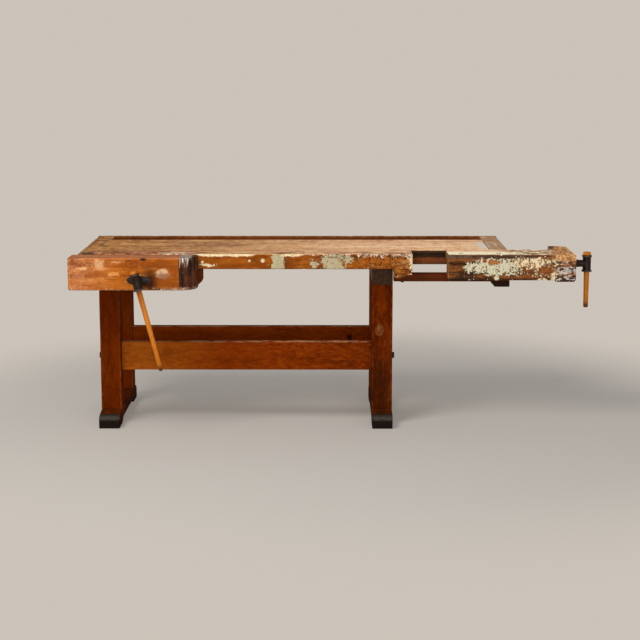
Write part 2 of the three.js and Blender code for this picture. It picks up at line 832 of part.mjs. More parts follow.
const tailBlock = () => {
  const face = outline([
    [tailX, tailBottom],
    [headX, tailBottom],
    ...dovetails(0),
    [headX, benchHeight],
    [tailX, benchHeight],
  ]);
  const section = outline([
    [0, tailBottom, softEdge],
    [tailBlockDepth, tailBottom],
    [tailBlockDepth, benchHeight],
    [0, benchHeight, wornEdge],
  ]);
  let block = prism(face, 'y', [0, tailBlockDepth]).intersect(prism(section, 'x', [tailX, headRight]));
  for (let i = 0; i < tailDogHoleCount; i += 1) {
    block = block.subtract(dogHole(tailX + tailDogInset + i * dogPitch));
  }
  return block;
};

const tailHead = () => {
  const left = headX + fit;
  const plan = outline([
    [left, 0, softEdge],
    [headRight, 0, headFrontRadius],
    [headRight, headDepth, headRearRadius],
    [left, headDepth, headInnerRadius],
  ]);
  const sockets = outline([
    [headX - headWidth, tailBottom],
    ...dovetails(fit),
    [headX - headWidth, benchHeight],
  ]);
  const mortiseX = [headX - armTenon, headX + armTenon + fit];
  const mortiseY = grow(grow(armY, -armTenonShoulder), fit);
  const mortiseZ = grow(grow(armZ, -armTenonShoulder), fit);
  return prism(plan, 'z', [headBottom, benchHeight], softEdge / 2, curveSteps)
    .subtract(prism(sockets, 'y', [-fit, tailBlockDepth + fit]))
    .subtract(boxOf(mortiseX, mortiseY, mortiseZ))
    .subtract(tailScrewBore);
};

const tailCover = () => {
  const x = [tailX, headX - fit];
  const y = [tailBlockDepth + fit, frontPlankDepth - slideGap];
  const tongueX = [tailX + tongueStart, headX - fit];
  const tongueY = [y[0] + tailBlockDepth / 2, frontPlankDepth + grooveDepth - slideGap];
  return boxOf(x, y, [coverBottom, benchHeight])
    .add(boxOf(tongueX, tongueY, grow([grooveBottom, grooveTop], -slideGap)));
};

const guideShoe = () => timber(
  [tailX + shoeStart, tailX + shoeStart + shoeLength],
  [tailBlockDepth + fit, railY[1]],
  [railTop + slideGap, tailScrewZ - screwRadius - shoeClearance],
  'x',
);

const guideArm = () => timber([tailX + armStart, headX], armY, armZ, 'x')
  .add(boxOf(
    [headX - armTenon, headX + armTenon],
    grow(armY, -armTenonShoulder),
    grow(armZ, -armTenonShoulder),
  ));

const tailVise = new THREE.Group();
const tailPlateX = [headRight + fit, headRight + fit + plateThickness];
tailVise.add(
  meshOf('tail_fixed_jaw', tailFixedJaw(), wornOak),
  meshOf('tail_guide_rail', guideRail, wornOak),
  meshOf('rail_bolt', railBolt(), iron),
  meshOf('tail_nut_block', tailNutBlock(), wornOak),
  meshOf('tail_screw_nut', tailScrewNut(), iron),
  meshOf('tail_arm_keeper', armKeeper(), wornOak),
  meshOf('tail_block', tailBlock(), wornOak),
  meshOf('tail_head', tailHead(), wornOak),
  meshOf('tail_cover', tailCover(), wornTop),
  meshOf('tail_guide_shoe', guideShoe(), wornOak),
  meshOf('tail_guide_arm', guideArm(), wornOak),
  meshOf('tail_flange_plate', flangePlate(flangeOutline(...tailAxis), 'x', tailPlateX), iron),
);
tailVise.add(addScrewSet(
  'tail',
  screwSet(tailScrewTail, tailHandleBelow, -headWidth - fit),
  new THREE.Vector3(headRight, tailScrewY, tailScrewZ),
  unitX,
  unitZ,
));

// The whole bench, with its origin on the floor under the middle of its box
const bench = new THREE.Group();
bench.add(benchTop, base, frontVise, tailVise);
const reach = new THREE.Box3().setFromObject(bench, true);
const middle = reach.getCenter(new THREE.Vector3());
bench.position.set(-middle.x, -middle.y, -reach.min.z);

export default bench;
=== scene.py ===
"""The looks of an old joiner's bench with a front vise and a tail vise, built around its CAD frame. Sizes
are in metres."""

import json
import math

import bmesh
import bpy
import numpy as np
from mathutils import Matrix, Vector

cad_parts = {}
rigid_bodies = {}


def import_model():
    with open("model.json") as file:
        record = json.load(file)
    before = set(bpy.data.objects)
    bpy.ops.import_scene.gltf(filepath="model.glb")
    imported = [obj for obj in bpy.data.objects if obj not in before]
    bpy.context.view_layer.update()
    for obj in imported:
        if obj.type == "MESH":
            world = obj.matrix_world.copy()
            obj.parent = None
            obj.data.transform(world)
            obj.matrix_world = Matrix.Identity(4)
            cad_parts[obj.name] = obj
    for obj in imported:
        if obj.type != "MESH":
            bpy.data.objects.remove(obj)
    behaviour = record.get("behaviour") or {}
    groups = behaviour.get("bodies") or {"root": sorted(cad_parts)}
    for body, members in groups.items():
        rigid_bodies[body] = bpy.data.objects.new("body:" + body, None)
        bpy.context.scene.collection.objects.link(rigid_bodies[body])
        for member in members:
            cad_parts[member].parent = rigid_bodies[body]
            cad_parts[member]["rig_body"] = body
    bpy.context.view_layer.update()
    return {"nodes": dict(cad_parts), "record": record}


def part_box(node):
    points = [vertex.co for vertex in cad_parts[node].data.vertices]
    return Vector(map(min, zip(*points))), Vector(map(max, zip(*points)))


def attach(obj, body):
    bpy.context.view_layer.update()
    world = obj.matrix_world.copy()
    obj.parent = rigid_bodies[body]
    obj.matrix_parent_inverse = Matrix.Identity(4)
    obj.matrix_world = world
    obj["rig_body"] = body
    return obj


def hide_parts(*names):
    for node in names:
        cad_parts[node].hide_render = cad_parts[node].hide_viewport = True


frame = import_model()


def box_of(node):
    """Lowest and highest corner of a CAD node, as two arrays."""
    low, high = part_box(node)
    return np.array(low), np.array(high)


# Values in a material's nodes
class Tone:
    """A value in a material's nodes. Sums, products and powers of values add Math nodes."""

    def __init__(self, tree, socket):
        self.tree = tree
        self.socket = socket

    def node(self, kind, settings, sockets, out=0):
        """Adds a node of any kind: its settings first, then the values or links of its sockets."""
        made = self.tree.nodes.new(kind)
        for name, value in settings.items():
            setattr(made, name, value)
        for name, value in sockets.items():
            if isinstance(value, Tone):
                self.tree.links.new(value.socket, made.inputs[name])
            else:
                made.inputs[name].default_value = value
        return Tone(self.tree, made.outputs[out])

    def math(self, operation, first, second=0.0):
        return self.node("ShaderNodeMath", {"operation": operation}, {0: first, 1: second})

    def __add__(self, other):
        return self.math("ADD", self, other)

    def __sub__(self, other):
        return self.math("SUBTRACT", self, other)

    def __rsub__(self, other):
        return self.math("SUBTRACT", other, self)

    def __mul__(self, other):
        return self.math("MULTIPLY", self, other)

    def __pow__(self, other):
        return self.math("POWER", self, other)

    def __abs__(self):
        return self.math("ABSOLUTE", self)

    __radd__ = __add__
    __rmul__ = __mul__

    def most(self, *others):
        """The highest of this value and the others."""
        highest = self
        for other in others:
            highest = self.math("MAXIMUM", highest, other)
        return highest

    def least(self, other):
        return self.math("MINIMUM", self, other)

    def sine(self):
        return self.math("SINE", self)

    def smooth(self, low, high):
        """0 up to low, 1 from high, and a smooth step between them."""
        return self.node(
            "ShaderNodeMapRange",
            {"interpolation_type": "SMOOTHSTEP"},
            {"Value": self, "From Min": low, "From Max": high},
        )

    def fall(self, low, high):
        """1 up to low, 0 from high, and a smooth step between them."""
        return 1.0 - self.smooth(low, high)

    def blend(self, first, second):
        """The first colour where this value is 0, and the second where it is 1."""
        solid = {6: first, 7: second}
        for name, colour in solid.items():
            if not isinstance(colour, Tone):
                solid[name] = (*colour, 1.0)
        return self.node("ShaderNodeMix", {"data_type": "RGBA"}, {0: self, **solid}, 2)

    def axis(self, index):
        return self.node("ShaderNodeSeparateXYZ", {}, {0: self}, index)

    def axes(self):
        return [self.axis(index) for index in range(3)]

    def scaled(self, scale, shift=(0.0, 0.0, 0.0)):
        return self.node("ShaderNodeMapping", {}, {"Vector": self, "Scale": scale, "Location": shift})

    def lengthened(self, share, shift=0.0):
        """The place squeezed to a share along the bench, which draws a pattern out there, and shifted."""
        return self.scaled((share, 1.0, 1.0), (shift, 0.0, 0.0))

    def moved(self, shift):
        return self.scaled((1.0, 1.0, 1.0), shift)

    def noise(self, scale, detail=2.0, roughness=0.5, distortion=0.0):
        sizes = {"Scale": scale, "Detail": detail, "Roughness": roughness, "Distortion": distortion}
        return self.node("ShaderNodeTexNoise", {}, {"Vector": self, **sizes})

    def cells(self, scale):
        return self.node("ShaderNodeTexVoronoi", {}, {"Vector": self, "Scale": scale})

    def flakes(self, scale):
        """A random value from 0 to 1 for each cell of a broken pattern."""
        return self.node("ShaderNodeTexVoronoi", {}, {"Vector": self, "Scale": scale}, "Color").axis(0)

    def crazed(self, scale):
        """0 on the cracks between the cells of a broken pattern, and more inside the cells."""
        cracks = {"feature": "DISTANCE_TO_EDGE"}
        return self.node("ShaderNodeTexVoronoi", cracks, {"Vector": self, "Scale": scale})

    def warped(self, scale, amount):
        """The place shifted by a noise of the scale, by up to the amount in metres."""
        drift = self.node("ShaderNodeTexNoise", {}, {"Vector": self, "Scale": scale, "Detail": 3.0}, "Color")
        shift = {0: drift, 1: (amount, amount, amount), 2: self}
        return self.node("ShaderNodeVectorMath", {"operation": "MULTIPLY_ADD"}, shift)


def shader_of(material):
    return material.node_tree.nodes["Principled BSDF"]


def begin(name, gloss):
    """A new material with the gloss of its shader set, and the place on the piece in metres."""
    material = bpy.data.materials.new(name)
    material.use_nodes = True
    tree = material.node_tree
    shader_of(material).inputs["Specular IOR Level"].default_value = gloss
    return material, Tone(tree, tree.nodes.new("ShaderNodeTexCoord").outputs["Object"])


def coated(colour, *coats):
    """A colour with coats laid over it in order. A coat is a mask, its strength and its own colour."""
    for mask, strength, tint in coats:
        colour = (mask * strength).blend(colour, tint)
    return colour


def lay_on(material, colour, roughness, height, depth):
    """Links a finish's colour, roughness and relief to its shader. Depth is the relief's size in metres."""
    bump = colour.node("ShaderNodeBump", {}, {"Height": height, "Distance": depth, "Strength": 1.0})
    for name, tone in (("Base Color", colour), ("Roughness", roughness), ("Normal", bump)):
        colour.tree.links.new(tone.socket, shader_of(material).inputs[name])
    return material


def wear_of(place):
    """How close a point is to a worn arris, from the piece's own attribute."""
    return place.node("ShaderNodeAttribute", {"attribute_name": "wear"}, {}, 2)


# How far wood squeezes its pattern along each axis of its grain
GRAIN = {"x": (0.06, 1.0, 1.0), "y": (1.0, 0.06, 1.0), "z": (1.0, 1.0, 0.06)}


def drawn_out(place, along, least, shift=(0.0, 0.0, 0.0)):
    """The place squeezed along the grain towards the least share, which draws a pattern out there."""
    return place.scaled(tuple(least + (1 - least) * share for share in GRAIN[along]), shift)


def wood(place, along, pale, deep, dark, seed, rings=5.0):
    """Sawn wood. Its bands follow the level lines of a noise that is stretched along the grain, and fine
    fibres and short dark pores lie over them."""
    drawn = place.scaled(GRAIN[along], (seed, 0.7 * seed, 0.3 * seed))
    swell = drawn.noise(7.0, 2.0, 0.5, 0.5)
    bands = (swell * (rings * 2 * math.pi)).sine() * 0.5 + 0.5
    streaks = drawn.noise(90.0, 3.0, 0.6)
    fibres = drawn.noise(420.0, 2.0, 0.6)
    pores = drawn.noise(760.0, 1.0).smooth(0.6, 0.74)
    tone = (bands * 0.3 + streaks * 0.5 + fibres * 0.35).smooth(0.3, 0.85)
    colour = coated(tone.blend(deep, pale), (pores, 0.5, dark))
    height = fibres * 0.4 + bands * 0.25 + streaks * 0.3 - pores * 0.5
    return colour, height


def spot(x, z, *ovals):
    """Round or oval places on a face: 1 in the middle of each, 0 on its edge and below 0 outside. An oval is
    the place of its middle, then its half width and half height."""
    fields = []
    for left, low, half_width, half_height in ovals:
        across = (x - left) * (1.0 / half_width)
        up = (z - low) * (1.0 / half_height)
        fields.append(1.0 - (across * across + up * up) ** 0.5)
    return fields[0].most(*fields[1:])


def stretch(x, low, high, soft):
    """1 between two places, 0 beyond them, with soft ends."""
    return x.smooth(low - soft, low + soft) * x.fall(high - soft, high + soft)


def flaking(place, field):
    """Where old paint still holds, and the dirty rim round it. The field is above 0 inside the painted place
    and below 0 outside it, and the paint breaks along angular flakes of two sizes and a fine noise."""
    shifted = place.warped(60.0, 0.006)
    large = shifted.scaled((0.8, 1.0, 1.3)).flakes(80.0) - 0.5
    small = (shifted.flakes(190.0) - 0.5) * 0.6
    fine = (place.noise(230.0, 4.0, 0.7) - 0.5) * 1.1
    held = field + (large + small + fine)
    cover = held.smooth(0.0, 0.08)
    return cover, held.smooth(-0.22, 0.0) * (1.0 - cover)


CREAM = (0.82, 0.64, 0.37)
MINT = (0.60, 0.56, 0.37)
GRIME = (0.040, 0.018, 0.009)

# The gap between pieces, and edges of pieces that the finishes follow
HAIR = 0.0003
slab_low, slab_high = box_of("front_plank")
jaw_low, jaw_high = box_of("front_jaw")
tail_low, tail_high = box_of("tail_block")
head_low, head_high = box_of("tail_head")
_, SLAB_FRONT, SLAB_FOOT = slab_low.tolist()
SLAB_END, slab_back, SLAB_TOP = slab_high.tolist()
NOTCH_BACK = slab_back + 2 * HAIR
_, JAW_FRONT, JAW_FOOT = jaw_low.tolist()
JAW_END, _, JAW_TOP = jaw_high.tolist()
TAIL_LEFT, _, TAIL_FOOT = tail_low.tolist()
HEAD_LEFT = float(head_low[0])
HEAD_END, HEAD_BACK, _ = head_high.tolist()
CAP_LEFT = float(box_of("left_end_cap")[0][0])
CAP_RIGHT = float(box_of("right_end_cap")[0][0])
DOVETAIL_PITCH = 0.0393


def top_tones(place, along, seed, dull=1.0):
    """Colour, relief and stains of the dry bench top: brown and dirty to the left, pale and bare to the
    right, with long dark streaks, washed places and short knife cuts."""
    side = place.axis(0).smooth(-1.15, 0.75)

    def sided(left, right, share=1.0):
        """A colour for the left end that turns into a share of another one at the right end."""
        return side.blend(left, tuple(share * part for part in right))

    pale = sided((0.50, 0.228, 0.058), (1.00, 0.61, 0.335), dull)
    deep = sided((0.27, 0.108, 0.030), (0.80, 0.44, 0.220), dull)
    colour, height = wood(place, along, pale, deep, (0.16, 0.07, 0.03), seed)
    chalky = 0.5 + 0.5 * dull
    drawn = drawn_out(place, along, 0.2, (seed, 0.0, 0.0))
    stains = (drawn.noise(10.0, 7.0, 0.70, 0.3) - side * 0.04).smooth(0.49, 0.62)
    washed = drawn.moved((3.0, 1.0, 0.0)).noise(11.0, 7.0, 0.70).smooth(0.51, 0.62)
    rosy = drawn.moved((7.0, 4.0, 0.0)).noise(11.0, 5.0, 0.6).smooth(0.52, 0.7)
    cuts = drawn.moved((0.4, 0.2, 0.0)).noise(28.0, 6.0, 0.75).smooth(0.58, 0.65)
    blots = place.noise(17.0, 5.0, 0.72)
    sweeps = drawn.moved((9.0, 2.0, 0.0)).noise(24.0, 6.0, 0.7).smooth(0.54, 0.66)
    mottle = place.scaled((0.7, 0.35, 1.0), (6.0, 3.0, 0.0)).noise(48.0, 5.0, 0.72)
    colour = coated(
        colour,
        (stains, 0.85, sided((0.13, 0.058, 0.023), (0.46, 0.182, 0.068))),
        (washed, 0.9, sided((0.60, 0.30, 0.092), (1.0, 0.72, 0.45), chalky)),
        (rosy, 0.4, sided((0.40, 0.150, 0.060), (0.74, 0.36, 0.20))),
        (cuts, 0.8, GRIME),
        (blots.smooth(0.53, 0.66), 0.5, sided((0.17, 0.068, 0.024), (0.58, 0.246, 0.104))),
        (blots.smooth(0.48, 0.37), 0.6, sided((0.58, 0.29, 0.088), (1.0, 0.74, 0.47), chalky)),
        (sweeps, 0.6, sided((0.115, 0.045, 0.017), (0.50, 0.200, 0.080))),
        (mottle.smooth(0.53, 0.62), 0.45, sided((0.12, 0.046, 0.017), (0.62, 0.27, 0.115))),
        (mottle.smooth(0.47, 0.38), 0.40, sided((0.62, 0.31, 0.11), (1.0, 0.78, 0.52), chalky)),
    )
    dents = place.cells(60.0).smooth(0.0, 0.16)
    return colour, height + dents * 0.6 - cuts * 0.5, stains


def worn_top(name, along, seed, dull=1.0):
    """Dry worn bench top, rubbed pale on its arrises, chalky by the right end, black at the left front
    corner, and with painted shadow and painted shade on the long edge that the tail vise's notch shows."""
    material, place = begin(name, 0.05)
    x, y, z = place.axes()
    colour, height, stains = top_tones(place, along, seed, dull)
    ragged = place.noise(70.0, 5.0, 0.7)
    torn = ragged - 0.5
    chalk = (spot(x, y, (0.694, 0.06, 0.042, 0.24)) + torn * 3.0).smooth(0.25, 0.5)
    left = (spot(x, y, (-1.108, SLAB_FRONT, 0.046, 0.085)) + torn * 1.6).smooth(0.12, 0.4)
    outer = (x - CAP_LEFT + torn * 0.03).fall(0.004, 0.040) * ragged.smooth(0.36, 0.56)
    # The long edge inside the tail vise's notch: a painted shadow of the groove under the tail cover at the
    # top, and painted shade that darkens the face towards the bottom
    inside = y.fall(NOTCH_BACK + 0.017, NOTCH_BACK + 0.019) * z.fall(SLAB_TOP - 0.006, SLAB_TOP - 0.003)
    lower = z.smooth(SLAB_FOOT + 0.003, SLAB_FOOT + 0.025)
    lower = lower.blend((0.085, 0.0170, 0.0020), (0.165, 0.0330, 0.0025))
    shade = (z + torn * 0.02).smooth(SLAB_FOOT + 0.025, SLAB_FOOT + 0.035)
    shade = shade.blend(lower, (0.013, 0.0030, 0.0010))
    crack = stretch(x + torn * 0.004, CAP_RIGHT - 0.0018, CAP_RIGHT + 0.0022, 0.0008) * y.fall(0.20, 0.26)
    colour = coated(
        colour,
        (wear_of(place) * ragged.smooth(0.4, 0.6), 0.6, (0.66, 0.42, 0.24)),
        (chalk, 0.8, (0.78, 0.70, 0.58)),
        (left, 0.9, (0.035, 0.026, 0.020)),
        (outer, 0.75, (0.095, 0.042, 0.017)),
        (inside * stretch(x, SLAB_END - 0.005, CAP_RIGHT - 0.002, 0.003), 0.95, shade),
        (crack, 0.95, (0.012, 0.007, 0.004)),
    )
    return lay_on(material, colour, 0.78 - stains * 0.12, height, 0.0012)


def front_edge():
    """The front plank: worn on top, orange brown on its front face, with a cream worn arris, remains of
    cream and pale green paint, filled holes, and a broken, worm-eaten stretch beside the notch."""
    material, place = begin("front_plank_wood", 0.06)
    x, y, z = place.axes()
    top, height, _ = top_tones(place, "x", 1.7)
    face, face_height = wood(
        place, "x", (0.41, 0.108, 0.007), (0.215, 0.048, 0.003), (0.06, 0.014, 0.002), 4.1,
    )
    ragged = place.noise(62.0, 6.0, 0.68)
    fine = place.noise(170.0, 5.0, 0.72)
    jagged = (ragged - 0.5) * 1.4 + (fine - 0.5) * 0.8
    blotches = place.lengthened(0.45).noise(24.0, 6.0, 0.68)

    # Worm holes and hollows beside the notch
    bored = place.warped(60.0, 0.012).cells(85.0)
    hollow = place.warped(34.0, 0.026).cells(34.0)
    gnawed = place.warped(26.0, 0.05).crazed(36.0).smooth(0.14, 0.05) * ragged.smooth(0.46, 0.55)
    eaten = (x.smooth(0.075, 0.11) * (bored - ragged * 0.5).smooth(0.11, 0.01)).most(
        x.smooth(0.20, 0.30) * (hollow - fine * 0.45).smooth(0.13, 0.03),
        stretch(x + jagged * 0.004, 0.104, 0.109, 0.001) * z.smooth(0.758, 0.768),
        x.smooth(0.085, 0.115) * gnawed * 0.75,
    )
    pinkish = x.smooth(0.085, 0.13) * (ragged * 0.6 + blotches * 0.5).smooth(0.54, 0.66)

    # Paint and filled holes
    drift = place.warped(24.0, 0.030)
    across, up = drift.axis(0) - 0.015, drift.axis(2) - 0.015
    band = (abs(x + 0.2512) * (-1.0 / 0.0275) + 1.0) * 3.2
    patch = spot(across, up, (-0.006, 0.763, 0.052, 0.060)) * 1.9
    smear = spot(across, up, (0.058, 0.776, 0.028, 0.014)) * 1.2 - 0.1
    crumbs = spot(x, z, (-0.088, 0.758, 0.034, 0.024), (-0.565, 0.750, 0.042, 0.009)) - 0.45
    notch = spot(x, z, (0.350, 0.768, 0.010, 0.044)) * 1.1
    paint, rim = flaking(place, band.most(patch, smear, crumbs, notch).least(0.75))
    pits = place.warped(90.0, 0.006).cells(120.0).smooth(0.20, 0.12) * ragged.smooth(0.44, 0.56)
    paint = paint * (1.0 - pits * 0.8)
    aged = (ragged * 0.6 + fine * 0.5).smooth(0.42, 0.66)
    old_green = (aged * 0.6).blend((0.53, 0.47, 0.29), (0.36, 0.27, 0.14))
    plugs = spot(
        x,
        z,
        (-0.3195, 0.7704, 0.0095, 0.0095),
        (-0.3790, 0.7700, 0.0060, 0.0060),
        (-0.5900, 0.7638, 0.0070, 0.0070),
    )
    lowest = stretch(z, SLAB_FOOT - 0.004, SLAB_FOOT + 0.0025, 0.0015)
    face = coated(
        face,
        (blotches.smooth(0.51, 0.66), 0.8, (0.125, 0.030, 0.005)),
        (blotches.smooth(0.47, 0.34), 0.6, (0.54, 0.195, 0.030)),
        (x.fall(-0.52, -0.16), 0.3, (0.185, 0.040, 0.002)),
        (eaten, 0.92, (0.026, 0.008, 0.003)),
        (pinkish, 0.6, (0.72, 0.34, 0.115)),
        (rim, 0.65, (0.055, 0.018, 0.006)),
        (paint, 1.0, stretch(x, -0.30, 0.085, 0.01).blend(CREAM, old_green)),
        (plugs.smooth(0.0, 0.12), 1.0, (0.70, 0.58, 0.36)),
        (lowest * x.fall(0.262, 0.27), 0.85, (0.055, 0.016, 0.004)),
    )

    # The worn upper arris, and the reddish stretch behind the front jaw
    on_front = y.fall(SLAB_FRONT + 0.002, SLAB_FRONT + 0.007)
    inwards = y - SLAB_FRONT
    down = SLAB_TOP - z
    away = (inwards * inwards + down * down) ** 0.5
    lengthwise = place.scaled((1.0, 0.0, 0.0)).noise(26.0, 5.0, 0.75)
    width = lengthwise.smooth(0.40, 0.66) * 0.006 + 0.0005 + jagged * 0.008
    width = width + stretch(x, -0.24, -0.15, 0.01) * 0.007 + stretch(x, -0.61, -0.37, 0.02) * 0.0065
    width = width + stretch(x, 0.10, 0.36, 0.02) * (lengthwise.smooth(0.4, 0.6) * 0.014)
    line = (away - width).fall(0.0, 0.003)
    rubbed = stretch(x, -0.625, -0.36, 0.02).most(stretch(x, -0.235, -0.03, 0.02))
    broken = stretch(x, -0.03, 0.36, 0.01)
    nicked = (away + jagged * 0.01).fall(0.010, 0.026) * (fine * 0.6 + ragged * 0.5).smooth(0.54, 0.60)
    hidden = x.fall(JAW_END - 0.052, JAW_END + 0.008)
    reddish = hidden * (away + jagged * 0.03).fall(0.09, 0.15)
    russet = blotches.smooth(0.4, 0.6).blend((0.36, 0.118, 0.046), (0.20, 0.052, 0.020))
    bitten = place.scaled((0.5, 0.35, 1.0), (3.0, 0.0, 0.0)).noise(90.0, 4.0, 0.7)
    flecks = hidden * x.smooth(-0.80, -0.74) * away.fall(0.05, 0.11)
    streaky = place.lengthened(0.35).noise(70.0, 5.0, 0.7)
    # Darker blotches on the top in a band just behind the worn arris line
    dark_band_noise = place.scaled((0.22, 0.5, 1.0), (2.0, 0.0, 0.0)).noise(42.0, 6.0, 0.72)
    behind = (away - width).smooth(-0.002, 0.004) * away.fall(0.05, 0.14) * (1.0 - on_front)
    colour = coated(
        on_front.blend(top, face),
        (line * rubbed, 0.95, (0.94, 0.73, 0.44)),
        (line * broken, (blotches + 0.1).smooth(0.42, 0.6), (0.86, 0.58, 0.40)),
        (nicked, (rubbed * 0.5).most(broken * 0.9), (0.050, 0.018, 0.007)),
        (reddish, 0.7, russet),
        (reddish * bitten.smooth(0.54, 0.59), 0.6, (0.76, 0.43, 0.24)),
        (reddish * bitten.smooth(0.46, 0.42), 0.7, (0.075, 0.022, 0.010)),
        (flecks, streaky.smooth(0.48, 0.54), (0.94, 0.76, 0.52)),
        (dark_band_noise.smooth(0.48, 0.60) * behind, 0.75, (0.115, 0.036, 0.013)),
    )
    relief = height * 0.5 + face_height * 0.5 + paint * 0.7 - eaten * on_front * 1.2 - line * 0.3
    return lay_on(material, colour, 0.76 - paint * 0.15, relief, 0.0012)


def jaw_wood():
    """The front jaw: orange brown wood with pale rubbed places, a darker board right of the seam that
    painted shade deepens towards the bottom, grease round the screw with a painted shadow of the hub beside
    it, a round end painted dark, partly stain and partly painted shade, with paint drips, and pale chips
    along its lower edge."""
    material, place = begin("front_jaw_wood", 0.06)
    x, y, z = place.axes()
    side = x.smooth(-1.15, -0.85)
    pale = side.blend((0.52, 0.160, 0.033), (0.55, 0.147, 0.008))
    deep = side.blend((0.32, 0.086, 0.015), (0.315, 0.072, 0.004))
    colour, height = wood(place, "x", pale, deep, (0.16, 0.040, 0.008), 2.3)
    ragged = place.noise(48.0, 6.0, 0.66)
    fine = place.noise(170.0, 5.0, 0.72)
    crumbly = ragged * 0.6 + fine * 0.5
    jagged = (ragged - 0.5) * 1.6 + (fine - 0.5) * 0.9

    # The long face
    darker = place.lengthened(0.3, 1.3).noise(16.0, 6.0, 0.66)
    pinkish = x.fall(-1.16, -0.95) * crumbly.smooth(0.5, 0.64)
    rubbed = spot(x, z, (-1.038, 0.770, 0.036, 0.030), (-1.105, 0.752, 0.038, 0.009))
    rubbed = rubbed.most(spot(x, z, (-0.965, 0.781, 0.030, 0.010)) - 0.2)
    rubbed = (rubbed * 1.1 + jagged * 1.5).smooth(0.0, 0.7)
    block = (abs(x + 0.973) * (-1.0 / 0.030)).least(abs(z - 0.728) * (-1.0 / 0.0105)) + 1.0
    block = (block * 2.4 + jagged * 1.4).smooth(0.1, 0.7)
    figure = place.lengthened(0.3, 6.0).warped(20.0, 0.02).noise(60.0, 4.0, 0.6)
    knot = spot(x, z, (-0.893, 0.772, 0.052, 0.034)) + jagged * 0.55
    swirl = (knot * 15.0).sine().smooth(0.2, 0.9) * knot.smooth(0.0, 0.3)
    disc = (spot(x, z, (-0.757, 0.729, 0.033, 0.027)) * 2.0 + jagged * 1.5).smooth(0.1, 0.6)
    patch_tint = ((z - 0.729) * 9.0 + ragged).smooth(0.42, 0.60).blend((0.30, 0.150, 0.095), (0.74, 0.50, 0.29))
    # Grease round the screw, with a painted shadow of the hub to its right and below it
    grease_and_hub_shadow = spot(
        x, z, (-0.816, 0.692, 0.052, 0.090), (-0.834, 0.686, 0.050, 0.042), (-0.770, 0.655, 0.110, 0.012),
    )
    upside = z.smooth(JAW_TOP - 0.0035, JAW_TOP - 0.0005)
    streaky = place.lengthened(0.2).noise(80.0, 5.0, 0.7)
    speckled = (darker * 0.5 + streaky * 0.5 + fine * 0.15).smooth(0.44, 0.72)
    nick = (spot(x, z, (-0.840, 0.793, 0.017, 0.009)) * 1.8 + jagged * 1.5).smooth(0.1, 0.6)
    colour = coated(
        colour,
        (darker.smooth(0.5, 0.68), 0.6, (0.23, 0.054, 0.008)),
        (darker.smooth(0.46, 0.34), 0.4, (0.74, 0.29, 0.075)),
        (pinkish, 0.5, (0.64, 0.30, 0.16)),
        (rubbed, 0.7, (0.82, 0.48, 0.23)),
        (block, 0.6, (0.86, 0.37, 0.105)),
        (figure.smooth(0.50, 0.66), 0.45, (0.26, 0.058, 0.007)),
        (figure.smooth(0.46, 0.34), 0.35, (0.74, 0.30, 0.085)),
        (swirl, 0.6, (0.17, 0.036, 0.008)),
        # Right of the seam: a darker board, deepened towards the bottom by painted shade
        (x.smooth(-0.822, -0.815), 0.66 - z.smooth(0.690, 0.765) * 0.5, (0.205, 0.047, 0.004)),
        (disc, 0.8, patch_tint),
        ((grease_and_hub_shadow + jagged * 0.2).smooth(0.0, 0.85), 0.96, (0.030, 0.008, 0.003)),
        (upside, 0.8, speckled.blend((0.37, 0.126, 0.046), (0.175, 0.046, 0.013))),
        (nick, (y - JAW_FRONT).fall(0.008, 0.016), (0.016, 0.008, 0.005)),
    )

    # The round end, dark with stain and painted shade, with its paint drips, and the chipped edges
    end = (x + jagged * 0.0015).smooth(JAW_END - 0.078, JAW_END - 0.075)
    streaks = place.scaled((1.0, 1.0, 0.22)).noise(46.0, 5.0, 0.65)
    bluish = place.scaled((1.0, 1.0, 0.5), (3.0, 0.0, 0.0)).noise(34.0, 4.0, 0.6).smooth(0.54, 0.64)
    # The round end: a dark stain, with painted shade where the end turns away from the light
    stain_and_shade = coated(
        streaks.smooth(0.38, 0.64).blend((0.012, 0.009, 0.009), (0.150, 0.040, 0.011)),
        (fine.smooth(0.56, 0.7), 0.4, (0.27, 0.095, 0.032)),
        (bluish, 0.6, (0.042, 0.044, 0.054)),
    )
    upright = place.scaled((1.0, 1.0, 0.0))
    length = upright.moved((7.0, 0.0, 0.0)).noise(110.0, 3.0).smooth(0.34, 0.66) * 0.036 + 0.004
    runs = upright.moved((2.0, 0.0, 0.0)).noise(230.0, 3.0, 0.6).smooth(0.51, 0.57)
    runs = end * runs * stretch(x, JAW_END - 0.075, JAW_END - 0.024, 0.004)
    runs = runs * (JAW_TOP - 0.003 - z - length).fall(0.0, 0.003)
    chips = (fine + ragged * 0.5 + x.smooth(-0.86, -0.72) * 0.10).smooth(0.84, 0.92)
    rim = wear_of(place) * crumbly.smooth(0.48, 0.62)
    colour = coated(
        colour,
        (end, 1.0, stain_and_shade),
        (runs, 0.95, (0.90, 0.82, 0.68)),
        (z.fall(JAW_FOOT + 0.003, JAW_FOOT + 0.018), chips, (0.78, 0.56, 0.34)),
        (z.fall(JAW_FOOT + 0.001, JAW_FOOT + 0.005), 0.7, (0.10, 0.030, 0.008)),
        (rim * (1.0 - end), 0.55 - upside * 0.42, (0.70, 0.36, 0.17)),
    )
    relief = height + rubbed * 0.2 + runs * 0.5
    return lay_on(material, colour, 0.6 + rubbed * 0.15 + end * 0.1, relief, 0.0009)


